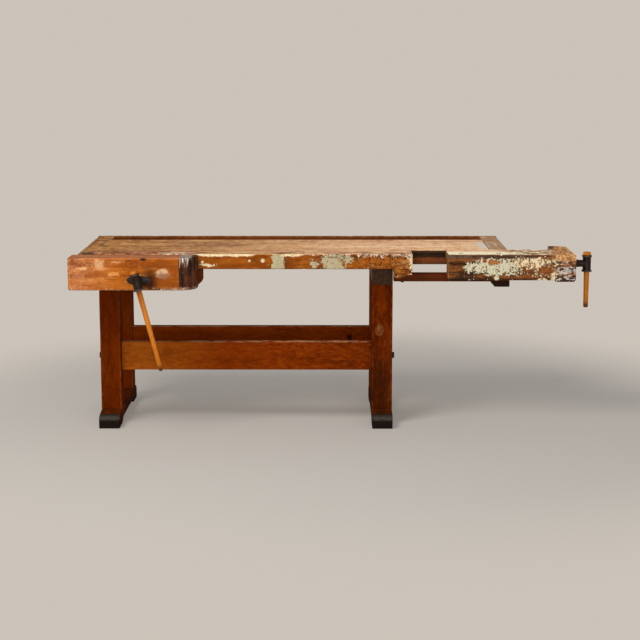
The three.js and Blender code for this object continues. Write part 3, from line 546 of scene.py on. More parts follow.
def tail_wood():
    """The tail vise: brown wood under broken pale green and cream paint, a bright worn top arris, a grey
    weathered band below it, and whitish bands over the dovetails."""
    material, place = begin("tail_vise_wood", 0.06)
    x, y, z = place.axes()
    colour, height = wood(place, "x", (0.30, 0.098, 0.022), (0.135, 0.041, 0.008), (0.04, 0.013, 0.005), 6.2)
    ragged = place.noise(55.0, 7.0, 0.70)
    fine = place.noise(165.0, 5.0, 0.72)
    crumbly = ragged * 0.6 + fine * 0.5
    jagged = (ragged - 0.5) * 1.7 + (fine - 0.5) * 1.0

    # Bare wood of the front face
    darker = place.lengthened(0.3).noise(30.0, 6.0, 0.68)
    sooty = (x + jagged * 0.02).fall(0.56, 0.64) * (ragged * 0.5 + darker * 0.5).smooth(0.36, 0.56)
    shaken = place.lengthened(0.10, 6.0).warped(30.0, 0.008).noise(56.0, 5.0, 0.7)
    towards_left = 1.0 - x.smooth(0.60, 0.80) * 0.65
    towards_right = x.smooth(0.70, 0.86)
    scorched = (spot(x, z, (0.598, 0.702, 0.062, 0.034)) + jagged * 0.5).smooth(0.0, 0.5)
    footed = (z + jagged * 0.004).fall(TAIL_FOOT + 0.004, TAIL_FOOT + 0.014)
    weather = (z + jagged * 0.006).smooth(SLAB_TOP - 0.026, SLAB_TOP - 0.019) * x.fall(0.86, 1.0)
    grey = (ragged * 0.5 + darker * 0.6).smooth(0.42, 0.66)
    seamed = place.lengthened(0.10, 8.0).noise(60.0, 4.0, 0.7)
    lined = stretch(z + (seamed - 0.5) * 0.02, SLAB_TOP - 0.0145, SLAB_TOP - 0.0095, 0.0018)
    lined = lined * x.smooth(0.56, 0.64)
    colour = coated(
        colour,
        (darker.smooth(0.49, 0.64), 0.8, (0.055, 0.019, 0.007)),
        (darker.smooth(0.46, 0.34), 0.6, (0.44, 0.165, 0.044)),
        (sooty, 0.7, (0.050, 0.019, 0.007)),
        (shaken.smooth(0.51, 0.58) * towards_left, 0.85, (0.022, 0.009, 0.004)),
        (shaken.smooth(0.47, 0.40) * towards_left, 0.5, (0.37, 0.130, 0.030)),
        (scorched, 0.75, (0.024, 0.012, 0.007)),
        (crumbly.smooth(0.55, 0.63) * towards_right, 0.7, (0.062, 0.022, 0.007)),
        (crumbly.smooth(0.53, 0.45) * towards_right, 0.6, (0.42, 0.150, 0.034)),
        (footed, 0.8, (0.024, 0.011, 0.006)),
        (weather, 0.85, grey.blend((0.038, 0.020, 0.012), (0.185, 0.106, 0.064))),
        (lined, 0.8, (0.026, 0.012, 0.007)),
    )

    # Paint
    drift = place.warped(24.0, 0.036)
    across, up = drift.axis(0) - 0.018, drift.axis(2) - 0.018
    main = spot(across, up, (0.712, 0.743, 0.122, 0.038), (0.648, 0.746, 0.066, 0.016)) * 2.2
    mint = main.most(spot(x, z, (0.730, 0.694, 0.010, 0.016)) * 1.4)
    upper = spot(across, up, (0.885, 0.760, 0.110, 0.024)) * 1.3
    cream = upper.most(spot(x, z, (0.985, 0.698, 0.024, 0.024), (0.940, 0.686, 0.022, 0.010)) * 1.4)
    gone = spot(across, up, (0.722, 0.763, 0.030, 0.012))
    scattered = stretch(x, 0.56, 1.02, 0.06) * 0.14 - 0.78
    scattered = scattered + spot(x, z, (0.895, 0.722, 0.130, 0.042)).most(0.0) * 0.56
    slivers = place.warped(45.0, 0.02).scaled((1.0, 1.0, 0.35)).noise(120.0, 3.0)
    slivers = slivers.smooth(0.56, 0.62).most(x.smooth(0.80, 0.86) * slivers.smooth(0.52, 0.57))
    cover, rim = flaking(place, mint.most(cream, scattered).least(0.60).least(0.15 - gone * 2.4))
    cover = cover * (1.0 - slivers * 0.85)
    tint = (cream - mint + jagged * 0.8).smooth(-0.2, 0.2).blend(MINT, CREAM)
    tint = coated(tint, (fine.smooth(0.42, 0.66), 0.5, (0.86, 0.82, 0.64)))

    # The head's dovetails and its brow
    head = (x + jagged * 0.006).smooth(0.985, 1.0) * x.fall(HEAD_END - 0.003, HEAD_END - 0.0006)
    head = head * (y - SLAB_FRONT).fall(0.003, 0.012)
    bands = ((z - TAIL_FOOT + jagged * 0.006) * (2 * math.pi / DOVETAIL_PITCH)).sine()
    along = place.scaled((0.6, 1.0, 1.0), (0.2, 0.0, 0.6)).warped(50.0, 0.012).noise(80.0, 6.0, 0.72)
    chalk = (bands * 0.03 + along + spot(x, z, (1.045, 0.724, 0.080, 0.050)) * 0.14).smooth(0.57, 0.63)
    soot = head * (0.5 - along + bands * 0.03 + (fine - 0.5) * 0.6).smooth(0.015, 0.07)
    ginger = head * place.lengthened(0.5, 4.0).noise(60.0, 4.0, 0.65).smooth(0.56, 0.64)
    brow = (z + jagged * 0.006).smooth(SLAB_TOP - 0.036, SLAB_TOP - 0.026)
    brow = brow * (x + jagged * 0.03).smooth(0.965, 1.015)
    colour = coated(
        colour,
        ((gone * 1.5 + jagged * 0.6).smooth(0.0, 0.5), 0.65, (0.56, 0.215, 0.064)),
        (rim, 0.6, (0.060, 0.021, 0.007)),
        (cover, 1.0, tint),
        (head * chalk, 0.9, (0.63, 0.575, 0.50)),
        (soot, 0.92, (0.022, 0.017, 0.018)),
        (ginger, 0.8, (0.52, 0.215, 0.080)),
        (brow, 0.85, crumbly.smooth(0.47, 0.62).blend((0.34, 0.118, 0.034), (0.84, 0.43, 0.17))),
        (brow * (fine * 0.7 + ragged * 0.4).smooth(0.595, 0.635), 0.8, (0.84, 0.60, 0.31)),
        (brow * (fine * 0.5 + shaken * 0.6).smooth(0.485, 0.45), 0.8, (0.050, 0.021, 0.010)),
    )

    # The upper side with its bright strip
    bench, _, stains = top_tones(place, "x", 9.2)
    upside = z.smooth(SLAB_TOP - 0.0025, SLAB_TOP - 0.0008)
    lengthwise = place.scaled((1.0, 0.0, 0.0), (5.0, 0.0, 0.0)).noise(22.0, 5.0, 0.7)
    grained = place.lengthened(0.12, 3.0).noise(40.0, 5.0, 0.7)
    strip = (y - SLAB_FRONT + jagged * 0.02).fall(0.086, 0.102)
    strip = strip * (SLAB_TOP - z + jagged * 0.002).fall(0.0005, 0.003)
    strip = strip * (1.0 - seamed.smooth(0.56, 0.66) * 0.55)
    strip = strip * (1.0 - x.smooth(0.76, 0.96) * grained.smooth(0.46, 0.56) * 0.9)
    strip = strip * (lengthwise * 0.5 + grained * 0.5).smooth(0.36, 0.42)
    strip = strip * (1.0 - x.smooth(0.94, 0.99) * 0.75)
    weathered = place.scaled((0.55, 0.75, 0.0), (11.0, 0.0, 0.0)).noise(34.0, 4.0, 0.65)
    weathered = weathered + (place.warped(60.0, 0.006).flakes(110.0) - 0.5) * 0.10
    tawny = x.smooth(0.75, 0.82) * weathered.smooth(0.48, 0.52)
    tawny = tawny.most(x.smooth(0.93, 1.0) * (ragged * 0.6 + darker * 0.5).smooth(0.36, 0.56))
    bared = stretch(x, 0.80, 0.985, 0.03) * weathered.smooth(0.48, 0.44)
    lumpy = place.scaled((0.8, 0.35, 0.0), (2.0, 0.0, 0.0)).noise(60.0, 4.0, 0.7).smooth(0.42, 0.60)
    roughened = (x + jagged * 0.01).smooth(0.985, 1.01)
    # Dirt and painted shade on the upper side at the back left end of the head
    corner = (spot(x, y, (HEAD_LEFT, HEAD_BACK, 0.034, 0.15)) + jagged * 0.2).smooth(0.0, 0.4)
    edge = (x - TAIL_LEFT).fall(0.002, 0.007) * ragged.smooth(0.40, 0.6)
    plug = spot(x, z, (0.676, 0.7695, 0.009, 0.009)).smooth(0.0, 0.12)
    colour = coated(
        colour,
        (upside, 0.9, coated(bench, (stains, 0.6, (0.30, 0.110, 0.034)))),
        (strip, 0.97, (1.0, 0.88, 0.60)),
        (upside * tawny, 0.88, fine.smooth(0.42, 0.62).blend((0.13, 0.046, 0.014), (0.40, 0.155, 0.044))),
        (upside * bared, 0.9, (0.98, 0.84, 0.56)),
        (upside * roughened, 0.85, lumpy.blend((0.80, 0.42, 0.160), (0.24, 0.084, 0.027))),
        (upside * corner, 0.85, (0.030, 0.016, 0.010)),
        (edge, 0.6, (0.40, 0.20, 0.085)),
        (plug, 1.0, (0.38, 0.075, 0.018)),
    )
    return lay_on(material, colour, 0.76 - cover * 0.14, height * 0.6 + cover * 0.9 - soot * 0.4, 0.0012)


def rough_wood(name, seed, pale=(0.108, 0.0215, 0.0030), deep=(0.046, 0.0090, 0.0012)):
    """Plain sawn wood of the hidden vise parts and the tray: oiled, brown and dusty."""
    material, place = begin(name, 0.05)
    colour, height = wood(place, "x", pale, deep, (0.03, 0.010, 0.004), seed)
    dust = place.noise(26.0, 5.0, 0.65).smooth(0.5, 0.75)
    rubbed = wear_of(place) * place.noise(40.0, 4.0, 0.6).smooth(0.4, 0.6)
    colour = coated(colour, (dust, 0.5, (0.070, 0.021, 0.006)), (rubbed, 0.5, (0.36, 0.16, 0.06)))
    return lay_on(material, colour, dust * 0.2 + 0.6, height, 0.0008)


def varnish(name, along, seed, pale, deep, toe=None, arris=None, scuff=None, fleck=0.8):
    """Reddish brown satin varnish over straight grain, crazed, darker to the right of the bench, and
    rubbed pale on the arrises, with painted light on the pieces at the back and on the front stretcher's
    left end. A toe is the part of a foot that is painted black, from its two ends inwards; a foot also gets
    grime and painted shade near the floor, painted shade on its rear half and a painted highlight on its
    black toes. An arris is the height of a worn upper edge, and a scuff is the middle of a scratched
    place."""
    material, place = begin(name, 0.006)
    x, y, z = place.axes()
    colour, height = wood(place, along, pale, deep, (0.022, 0.003, 0.0004), seed, 4.0)
    drawn = drawn_out(place, along, 0.25)
    clouds = drawn.noise(13.0, 6.0, 0.66, 0.3)
    dusky = clouds + x.smooth(0.0, 0.2) * (1.6 - z.smooth(0.1, 0.5)) * 0.06
    mottled = drawn_out(place, along, 0.35, (4.0, 1.0, 0.0)).warped(40.0, 0.012).noise(64.0, 6.0, 0.72)
    patchy = x.smooth(-0.75, 0.1) * 0.4 + 0.3
    rear = y.smooth(0.02, 0.12)
    glowing = drawn.moved((5.0, 2.0, 0.0)).noise(10.0, 6.0, 0.66).smooth(0.5, 0.7)
    scuffs = drawn_out(place, along, 0.2, (2.0, 0.0, 0.0)).noise(60.0, 5.0, 0.75)
    crazing = place.warped(50.0, 0.01).crazed(95.0).smooth(0.10, 0.02) * clouds.smooth(0.42, 0.6)
    rubbed = wear_of(place) * place.noise(30.0, 4.0, 0.6).smooth(0.42, 0.62)
    rough = clouds * 0.2 + 0.62 + rubbed * 0.1
    coats = [
        (dusky.smooth(0.49, 0.70), 0.45, (0.040, 0.0062, 0.0005)),
        (mottled.smooth(0.52, 0.64), patchy, (0.040, 0.0064, 0.0006)),
        (mottled.smooth(0.48, 0.36), patchy * fleck, (0.36, 0.082, 0.0050)),
        # Painted light: pieces towards the back are lightened, standing in for light that the top keeps from
        # them
        (rear, 0.36, (0.265, 0.0400, 0.0018)),
        (glowing, 0.5, (0.29, 0.056, 0.0030)),
        (scuffs.smooth(0.63, 0.72), 0.4, (0.30, 0.105, 0.030)),
        (crazing, 0.35, (0.026, 0.005, 0.0008)),
        (rubbed, 0.15 if toe else 0.5, (0.27, 0.070, 0.010)),
    ]
    if arris:
        # Painted light: the left end of the front stretcher is lightened where more light falls on it
        lit_left_end = x.fall(-0.94, -0.46) * (1.0 - rear)
        patch_tint = (mottled * 0.6 + clouds * 0.5).smooth(0.44, 0.64)
        worn = z.smooth(arris - 0.0045, arris - 0.001) * scuffs.smooth(0.44, 0.58)
        coats += [
            (x.smooth(-0.60, -0.40), 0.2, (0.090, 0.0110, 0.0005)),
            (lit_left_end, 0.62, patch_tint.blend((0.48, 0.140, 0.0130), (0.33, 0.080, 0.0060))),
            (worn, 0.8, (0.46, 0.245, 0.120)),
        ]
    if scuff:
        scratched = spot(x, z, (*scuff, 0.024, 0.034)).smooth(0.0, 0.4) * y.fall(-0.150, -0.145)
        scratched = scratched * place.warped(60.0, 0.03).crazed(110.0).smooth(0.16, 0.05)
        smoked = place.scaled((1.0, 1.0, 0.14), (1.0, 0.0, 0.0)).noise(60.0, 5.0, 0.7).smooth(0.40, 0.60)
        smoked = smoked * x.smooth(0.1, 0.15) * z.fall(0.14, 0.46)
        coats += [(scratched, 0.6, (0.25, 0.105, 0.040)), (smoked, 0.72, (0.020, 0.0075, 0.0028))]
    if toe:
        low, high = toe
        wobbly = y + (place.noise(40.0, 3.0) - 0.5) * 0.012
        black = wobbly.fall(low, low + 0.004).most(wobbly.smooth(high - 0.004, high))
        scraped = place.noise(90.0, 5.0, 0.7)
        # Darker just behind the front toe, and painted shade on the rear half of the foot
        dark_front_and_shaded_rear = y.fall(low + 0.05, low + 0.08).most(y.smooth(-0.16, 0.02))
        # A painted highlight along the rounded top of the black toe, broken into scuffs
        toe_highlight = stretch(z, 0.040, 0.058, 0.008) * place.noise(320.0, 3.0, 0.6).smooth(0.36, 0.72)
        coats += [
            # Grime and painted shade, darker towards the floor
            ((z + (scraped - 0.5) * 0.04).fall(0.012, 0.085), 0.75, (0.030, 0.0115, 0.0045)),
            (dark_front_and_shaded_rear, 0.62, (0.026, 0.0085, 0.0030)),
            (black, 1.0, (toe_highlight * 0.9).blend((0.012, 0.009, 0.007), (0.135, 0.115, 0.100))),
        ]
        rough = rough + black * 0.05
    return lay_on(material, coated(colour, *coats), rough, height, 0.0006)


def black_end_wood():
    """A bearer: varnished wood whose two ends are painted black."""
    material, place = begin("bearer_wood", 0.05)
    low, high = box_of("left_bearer")
    colour, height = wood(place, "y", (0.13, 0.022, 0.003), (0.065, 0.010, 0.001), (0.02, 0.004, 0.001), 8.8)
    y = place.axis(1)
    scraped = place.noise(70.0, 5.0, 0.7)
    inwards = (y - float(low[1])).least(float(high[1]) - y)
    paint = (scraped.smooth(0.46, 0.68) * 0.7).blend((0.042, 0.021, 0.011), (0.115, 0.050, 0.022))
    colour = inwards.fall(0.03, 0.034).blend(colour, paint)
    return lay_on(material, colour, scraped * 0.25 + 0.42, height * 0.5 + scraped * 0.3, 0.0007)


def turned_wood():
    """Honey coloured turned wood, polished by hands, with darker streaks and dirty tips."""
    material, place = begin("handle_wood", 0.10)
    colour, height = wood(place, "z", (0.64, 0.200, 0.014), (0.38, 0.098, 0.005), (0.12, 0.028, 0.003), 5.5)
    grime = place.noise(36.0, 4.0, 0.6).smooth(0.55, 0.8)
    colour = coated(
        colour,
        (grime, 0.5, (0.17, 0.045, 0.008)),
        (wear_of(place), 0.85, (0.055, 0.020, 0.008)),
    )
    return lay_on(material, colour, grime * 0.2 + 0.34, height, 0.0004)


def cast_iron():
    """Dark brown black cast iron: a sandy skin, a little rust in the hollows and bright rubbed edges that
    are partly wear and partly a painted highlight.
    """
    material, place = begin("cast_iron", 0.15)
    sand = place.noise(520.0, 4.0, 0.65)
    clouds = place.noise(42.0, 4.0, 0.6)
    rust = (clouds * 0.6 + sand * 0.5).smooth(0.62, 0.75)
    rubbed = wear_of(place) * sand.smooth(0.35, 0.6)
    colour = coated(
        clouds.smooth(0.35, 0.7).blend((0.009, 0.005, 0.003), (0.026, 0.014, 0.008)),
        (rust, 0.5, (0.085, 0.030, 0.011)),
        # Rubbed edges, rims and thread crests: partly wear, partly a painted highlight
        (rubbed, 0.5, (0.16, 0.130, 0.105)),
    )
    return lay_on(material, colour, sand * 0.2 + 0.26 + rust * 0.2, sand + clouds * 0.5, 0.0003)


def turned_steel():
    """Turned steel rods: bright, finely lined round their length, and browned by age."""
    material, place = begin("turned_steel", 0.5)
    shader_of(material).inputs["Metallic"].default_value = 0.9
    lines = place.scaled((0.2, 1.0, 0.2)).noise(900.0, 2.0, 0.5)
    clouds = place.noise(28.0, 4.0, 0.6)
    colour = clouds.smooth(0.4, 0.72).blend((0.34, 0.33, 0.32), (0.15, 0.10, 0.075))
    return lay_on(material, colour, lines * 0.2 + 0.24 + clouds * 0.15, lines, 0.0002)


# Surfaces worked out with numpy
CLOSE = 1e-6
NEARLY_LEVEL = 0.002
SHARP = math.radians(38)
LARGEST_ARRIS = 0.02
BESIDE_ARC = 0.006
KNOCK_SPACING = 0.035
CHIP_SPACING = 0.006
SINK = 0.0003


def skin(name, points, faces, material, wear=None):
    """A mesh object from an array of points and a list of faces, with outward normals and smooth shading."""
    mesh = bpy.data.meshes.new(name)
    mesh.from_pydata(points.tolist(), [], faces)
    if wear is not None:
        layer = mesh.attributes.new("wear", "FLOAT", "POINT")
        layer.data.foreach_set("value", wear.astype(np.float32))
    work = bmesh.new()
    work.from_mesh(mesh)
    bmesh.ops.recalc_face_normals(work, faces=work.faces)
    work.to_mesh(mesh)
    work.free()
    mesh.shade_smooth()
    mesh.set_sharp_from_angle(angle=SHARP)
    mesh.materials.append(material)
    piece = bpy.data.objects.new(name, mesh)
    bpy.context.scene.collection.objects.link(piece)
    return piece


def grid_faces(rows, columns, round_rows=False, round_columns=False):
    """The quads of a grid of points, as an array of four point numbers, with either way closed on itself."""
    number = np.arange(rows * columns).reshape(rows, columns)
    if round_rows:
        number = np.vstack([number, number[:1]])
    if round_columns:
        number = np.hstack([number, number[:, :1]])
    quads = [number[:-1, :-1], number[1:, :-1], number[1:, 1:], number[:-1, 1:]]
    return np.stack(quads, axis=-1).reshape(-1, 4)


def spaced(low, high, step, *fixed):
    """Rising values from low to high, about a step apart, that hit every fixed value."""
    stops = np.unique(np.round([low, *fixed, high], 7))
    runs = [
        np.linspace(a, b, max(1, math.ceil((b - a) / step)), endpoint=False)
        for a, b in zip(stops[:-1], stops[1:])
    ]
    return np.append(np.concatenate(runs), stops[-1])


def rounded_loop(corners, step, arc, marks):
    """A closed outline from corners (u, v, radius). Each corner is an arc of points about a centre, and
    each straight run has points about a step apart, with one close to each arc and one at each marked u on
    a level run. Returns the points, their outward normals, how much each belongs to an arris, and its
    corner."""
    places = np.array([c[:2] for c in corners], float)
    radii = np.array([c[2] for c in corners], float)
    before = np.roll(places, 1, axis=0) - places
    after = np.roll(places, -1, axis=0) - places
    before /= np.linalg.norm(before, axis=1)[:, None]
    after /= np.linalg.norm(after, axis=1)[:, None]
    half = np.arccos(np.clip((before * after).sum(1), -1, 1)) / 2
    middle = before + after
    middle /= np.linalg.norm(middle, axis=1)[:, None]
    centre = places + middle * (radii / np.sin(half))[:, None]
    setback = (radii / np.tan(half))[:, None]
    start, end = places + before * setback, places + after * setback
    points, normals, wear, owner = [], [], [], []
    for i in range(len(corners)):
        turn = np.linspace(0, 1, arc)[:, None]
        bulge = (start[i] - centre[i]) * (1 - turn) + (end[i] - centre[i]) * turn
        bulge /= np.linalg.norm(bulge, axis=1)[:, None]
        convex = np.cross(before[i], after[i]) < 0
        points.append(centre[i] + bulge * radii[i])
        normals.append(bulge if convex else -bulge)
        wear.append(np.full(arc, 1.0 if convex and radii[i] < LARGEST_ARRIS else 0.0))
        owner.append(np.full(arc, i))
        ahead = start[(i + 1) % len(corners)] - end[i]
        length = np.linalg.norm(ahead)
        if length < 3 * BESIDE_ARC:
            continue
        level = abs(ahead[1]) < CLOSE
        fixed = [(mark - end[i][0]) * np.sign(ahead[0]) for mark in marks] if level else []
        shares = spaced(BESIDE_ARC, length - BESIDE_ARC, step, *fixed)[:, None] / length
        out = np.array([ahead[1], -ahead[0]]) / length
        points.append(end[i] + ahead * shares)
        normals.append(np.repeat(out[None], len(shares), axis=0))
        wear.append(np.zeros(len(shares)))
        owner.append(np.full(len(shares), i))
    return [np.concatenate(part) for part in (points, normals, wear, owner)]


def bumps(rng, places, spacing):
    """Smooth random values from 0 to 1 along a line, from random values a spacing apart."""
    count = int((places[-1] - places[0]) / spacing) + 4
    knots = places[0] - spacing + spacing * np.arange(count)
    return np.interp(places, knots, rng.uniform(size=count))


# The two axes of a profile, then the axis that carries it
AXES = {"x": (1, 2, 0), "y": (0, 2, 1), "z": (0, 1, 2)}


def carried_grid(corners, along, low, high, edge, step, chip, seed, arc=5, stops=(), marks=()):
    """A profile carried along an axis. Near both ends it shrinks along its normals by a quarter circle of
    the edge radius. Its arrises are chipped inwards by a random depth that changes along the length, and
    its faces sink by fractions of a millimetre. Chip is the largest depth, for all corners or for each."""
    rng = np.random.default_rng(seed)
    loop, normals, worn, owner = rounded_loop(corners, step, arc, marks)
    turn = np.linspace(0, math.pi / 2, 5)[:-1]
    lead = edge * (1 - np.cos(turn))
    ease = edge * (1 - np.sin(turn))
    run = spaced(low + edge, high - edge, step, *stops)
    stations = np.concatenate([low + lead, run, high - lead[::-1]])
    inset = np.concatenate([ease, np.zeros(len(run)), ease[::-1]])
    knocks = np.stack([
        bumps(rng, stations, KNOCK_SPACING) ** 4 * bumps(rng, stations, CHIP_SPACING) for _ in corners
    ])
    depth = (knocks * np.broadcast_to(chip, len(corners))[:, None])[owner].T * worn
    wave = np.sin(stations[:, None] * 23 + seed) * np.sin(stations[:, None] * 7.3 + loop[:, 0] * 31)
    flat = loop[None] - normals[None] * (inset[:, None] + depth + SINK * np.abs(wave))[..., None]
    grid = np.empty((len(stations), len(loop), 3))
    first, second, third = AXES[along]
    grid[..., first] = flat[..., 0]
    grid[..., second] = flat[..., 1]
    grid[..., third] = stations[:, None]
    wear = (inset > 0)[:, None] | (worn > 0.5)[None]
    return grid, wear.astype(float)


def capped(grid):
    """The faces of a carried profile: quads along it, and one flat face at each end."""
    rows, columns = grid.shape[:2]
    faces = grid_faces(rows, columns, round_columns=True).tolist()
    last = (rows - 1) * columns
    return faces + [list(range(columns))[::-1], list(range(last, last + columns))]


def carried(name, corners, along, low, high, material, edge=0.002, step=0.03, chip=0.0015, seed=1, arc=5):
    """A solid from a profile carried along an axis, closed at both ends."""
    grid, wear = carried_grid(corners, along, low, high, edge, step, chip, seed, arc)
    return skin(name, grid.reshape(-1, 3), capped(grid), material, wear.ravel())


def pierced(name, corners, low, high, material, holes, edge=0.002, step=0.02, chip=0.0015, seed=1):
    """A profile carried along x with square holes from top to bottom. The quads inside each hole are left
    out, and walls join the upper rim of the hole to the lower one. A hole is (low x, high x, low y, high
    y)."""
    across = sorted({value for hole in holes for value in hole[2:]})
    lengthwise = sorted({value for hole in holes for value in hole[:2]})
    grid, wear = carried_grid(
        corners, "x", low, high, edge, step, chip, seed, stops=lengthwise, marks=across,
    )
    rows, columns = grid.shape[:2]
    quads = grid_faces(rows, columns, round_columns=True)
    points = grid.reshape(-1, 3)
    centres = points[quads].mean(axis=1)
    level = np.ptp(points[quads][..., 2], axis=1) < NEARLY_LEVEL
    number = np.arange(rows * columns).reshape(rows, columns)
    middle = (points[:, 2].min() + points[:, 2].max()) / 2
    keep = np.ones(len(quads), bool)
    walls = []
    for x0, x1, y0, y1 in holes:
        inside = (centres[:, 0] > x0) & (centres[:, 0] < x1) & (centres[:, 1] > y0) & (centres[:, 1] < y1)
        keep &= ~(inside & level)
        row = np.flatnonzero((grid[:, 0, 0] > x0 - CLOSE) & (grid[:, 0, 0] < x1 + CLOSE))
        column = np.flatnonzero((grid[row[0], :, 1] > y0 - CLOSE) & (grid[row[0], :, 1] < y1 + CLOSE))
        order = column[np.argsort(grid[row[0], column, 1])]
        upper = order[grid[row[0], order, 2] > middle]
        lower = order[grid[row[0], order, 2] < middle]
        rims = [(number[end, upper], number[end, lower]) for end in (row[0], row[-1])]
        rims += [(number[row, upper[end]], number[row, lower[end]]) for end in (0, -1)]
        for top, bottom in rims:
            walls.append(np.stack([top[:-1], top[1:], bottom[1:], bottom[:-1]], axis=-1))
    faces = quads[keep].tolist() + np.concatenate(walls).tolist() + capped(grid)[-2:]
    return skin(name, points, faces, material, wear.ravel())


def cornered(low, high, along, radii):
    """The four corners of a timber's section across its length, from the lowest one round, each with a
    radius."""
    first, second, _ = AXES[along]
    ways = [(low, low), (high, low), (high, high), (low, high)]
    return [(one[first], other[second], radius) for (one, other), radius in zip(ways, radii)]


def squared(name, low, high, along, material, radii=(0.003, 0.003, 0.003, 0.003), **more):
    """A squared timber between two corners, with rounded arrises."""
    length = AXES[along][2]
    corners = cornered(low, high, along, radii)
    return carried(name, corners, along, low[length], high[length], material, **more)


def stand_for(piece, node):
    """The piece rides on its node's body and stands for the node."""
    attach(piece, frame["nodes"][node]["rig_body"])
    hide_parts(node)
    return piece


# Finishes
FRONT_TOE = 0.030
REAR_TOE = 0.046
SCRATCHED_PLACE = (0.209, 0.440)
foot_low, foot_high = box_of("left_foot")
top_x = worn_top("top_wood_long", "x", 0.4)
top_y = worn_top("top_wood_cross", "y", 3.1, 0.43)
edge_wood = front_edge()
jaw_finish = jaw_wood()
tail_finish = tail_wood()
hidden_wood = rough_wood("oiled_wood_long", 1.1)
dark_wood = rough_wood("sooty_wood", 3.6, (0.040, 0.014, 0.006), (0.016, 0.006, 0.003))
tray_wood = rough_wood("tray_wood", 7.7, (0.200, 0.050, 0.006), (0.090, 0.020, 0.002))
leg_wood = varnish(
    "leg_wood", "z", 0.9, (0.158, 0.0215, 0.0010), (0.080, 0.0100, 0.0004),
    scuff=SCRATCHED_PLACE, fleck=0.25,
)
rail_wood = varnish(
    "stretcher_wood", "x", 5.0, (0.245, 0.0360, 0.0016), (0.130, 0.0172, 0.0008),
    arris=float(box_of("front_stretcher")[1][2]),
)
fixed_jaw_wood = varnish("fixed_jaw_wood", "x", 6.4, (0.172, 0.0360, 0.0058), (0.092, 0.0175, 0.0028))
foot_wood = varnish(
    "foot_wood", "y", 4.4, (0.190, 0.0290, 0.0020), (0.095, 0.0130, 0.0008),
    toe=(float(foot_low[1]) + FRONT_TOE, float(foot_high[1]) - REAR_TOE),
)
bearer_wood = black_end_wood()
honey = turned_wood()
iron = cast_iron()
steel = turned_steel()

FINISH = {
    "top_wood": top_x,
    "tray_wood": tray_wood,
    "vise_wood": hidden_wood,
    "base_wood": rail_wood,
    "black_paint": bearer_wood,
    "handle_wood": honey,
    "iron": iron,
    "steel": steel,
}
OWN_FINISH = {
    "front_plank": edge_wood,
    "left_end_cap": top_y,
    "right_end_cap": top_y,
    "front_jaw": jaw_finish,
    "tail_block": tail_finish,
    "tail_head": tail_finish,
    "tail_cover": tail_finish,
    "tail_fixed_jaw": edge_wood,
    "tail_nut_block": dark_wood,
    "left_foot": foot_wood,
    "right_foot": foot_wood,
}
for row in frame["record"]["subparts"]:
    name = row["node"]
    plain = leg_wood if name.endswith("_leg") else FINISH[row["material_slot"]]
    shown = frame["nodes"][name].data.materials
    shown.clear()
    shown.append(OWN_FINISH.get(name, plain))


def planed(work, point, first, second, radius):
    """Rounds an edge of a mesh to a radius. The edge passes through the point, between faces that look the
    first and second way. Planes that touch the circle cut the edge away, and each cut is closed."""
    centre = point - radius * (first + second)
    for turn in np.radians((15, 30, 45, 60, 75)):
        facing = math.cos(turn) * first + math.sin(turn) * second
        shape = [*work.verts, *work.edges, *work.faces]
        cut = bmesh.ops.bisect_plane(
            work, geom=shape, plane_co=centre + radius * facing, plane_no=facing, clear_outer=True,
        )
        rim = [item for item in cut["geom_cut"] if isinstance(item, bmesh.types.BMEdge)]
        bmesh.ops.holes_fill(work, edges=rim)


def softened(node, width, material, worn=()):
    """A merged copy of a CAD node with its arrises rounded to the width, for shapes that are right
    already. Worn lists the edges that are rounded more, each as a point, the ways of its two faces, and a
    radius."""
    mesh = frame["nodes"][node].data.copy()
    mesh.name = node + "_piece"
    work = bmesh.new()
    work.from_mesh(mesh)
    bmesh.ops.remove_doubles(work, verts=work.verts, dist=2 * CLOSE)
    bmesh.ops.dissolve_limit(work, angle_limit=math.radians(0.5), verts=work.verts, edges=work.edges)
    for edge in worn:
        planed(work, *edge)
    work.to_mesh(mesh)
    work.free()
    mesh.shade_smooth()
    mesh.materials.clear()
    mesh.materials.append(material)
    piece = bpy.data.objects.new(node + "_piece", mesh)
    bpy.context.scene.collection.objects.link(piece)
    bevel = piece.modifiers.new("rounded_arrises", "BEVEL")
    bevel.width = width
    bevel.segments = 3
    bevel.limit_method = "ANGLE"
    bevel.angle_limit = math.radians(40)
    normals = piece.modifiers.new("even_faces", "WEIGHTED_NORMAL")
    normals.weight = 80
    return stand_for(piece, node)


def ringed(axis, origin, heights, radii, columns=48):
    """A grid of points round an axis. Each row has a height along the axis and a radius, and the columns are
    even turns about it. Heights and radii may also change with the turn."""
    start = np.array([0.0, 0.0, 1.0]) if abs(axis[2]) < 0.5 else np.array([1.0, 0.0, 0.0])
    sideways = np.cross(axis, start)
    sideways /= np.linalg.norm(sideways)
    other = np.cross(axis, sideways)
    turns = np.linspace(0, 2 * math.pi, columns, endpoint=False)
    around = np.cos(turns)[:, None] * sideways + np.sin(turns)[:, None] * other
    shape = (len(heights), columns)
    high = np.broadcast_to(np.reshape(heights, (len(heights), -1)), shape)
    wide = np.broadcast_to(np.reshape(radii, (len(radii), -1)), shape)
    return origin + high[..., None] * axis + wide[..., None] * around


def joined(parts):
    """One set of points, faces and wear from several, each given as a grid, its faces and its wear."""
    points, faces, wear, count = [], [], [], 0
    for grid, own, worn in parts:
        flat = grid.reshape(-1, 3)
        points.append(flat)
        faces += [[count + corner for corner in face] for face in own]
        wear.append(np.broadcast_to(np.reshape(worn, (len(grid), -1)), grid.shape[:2]).ravel())
        count += len(flat)
    return np.concatenate(points), faces, np.concatenate(wear)


def bent(profile, step):
    """Points about a step apart along the straight runs of a profile of pairs."""
    profile = np.array(profile, float)
    runs = []
    for a, b in zip(profile[:-1], profile[1:]):
        shares = np.linspace(0, 1, max(1, math.ceil(np.linalg.norm(b - a) / step)), endpoint=False)
        runs.append(a + (b - a) * shares[:, None])
    return np.concatenate(runs + [profile[-1:]])


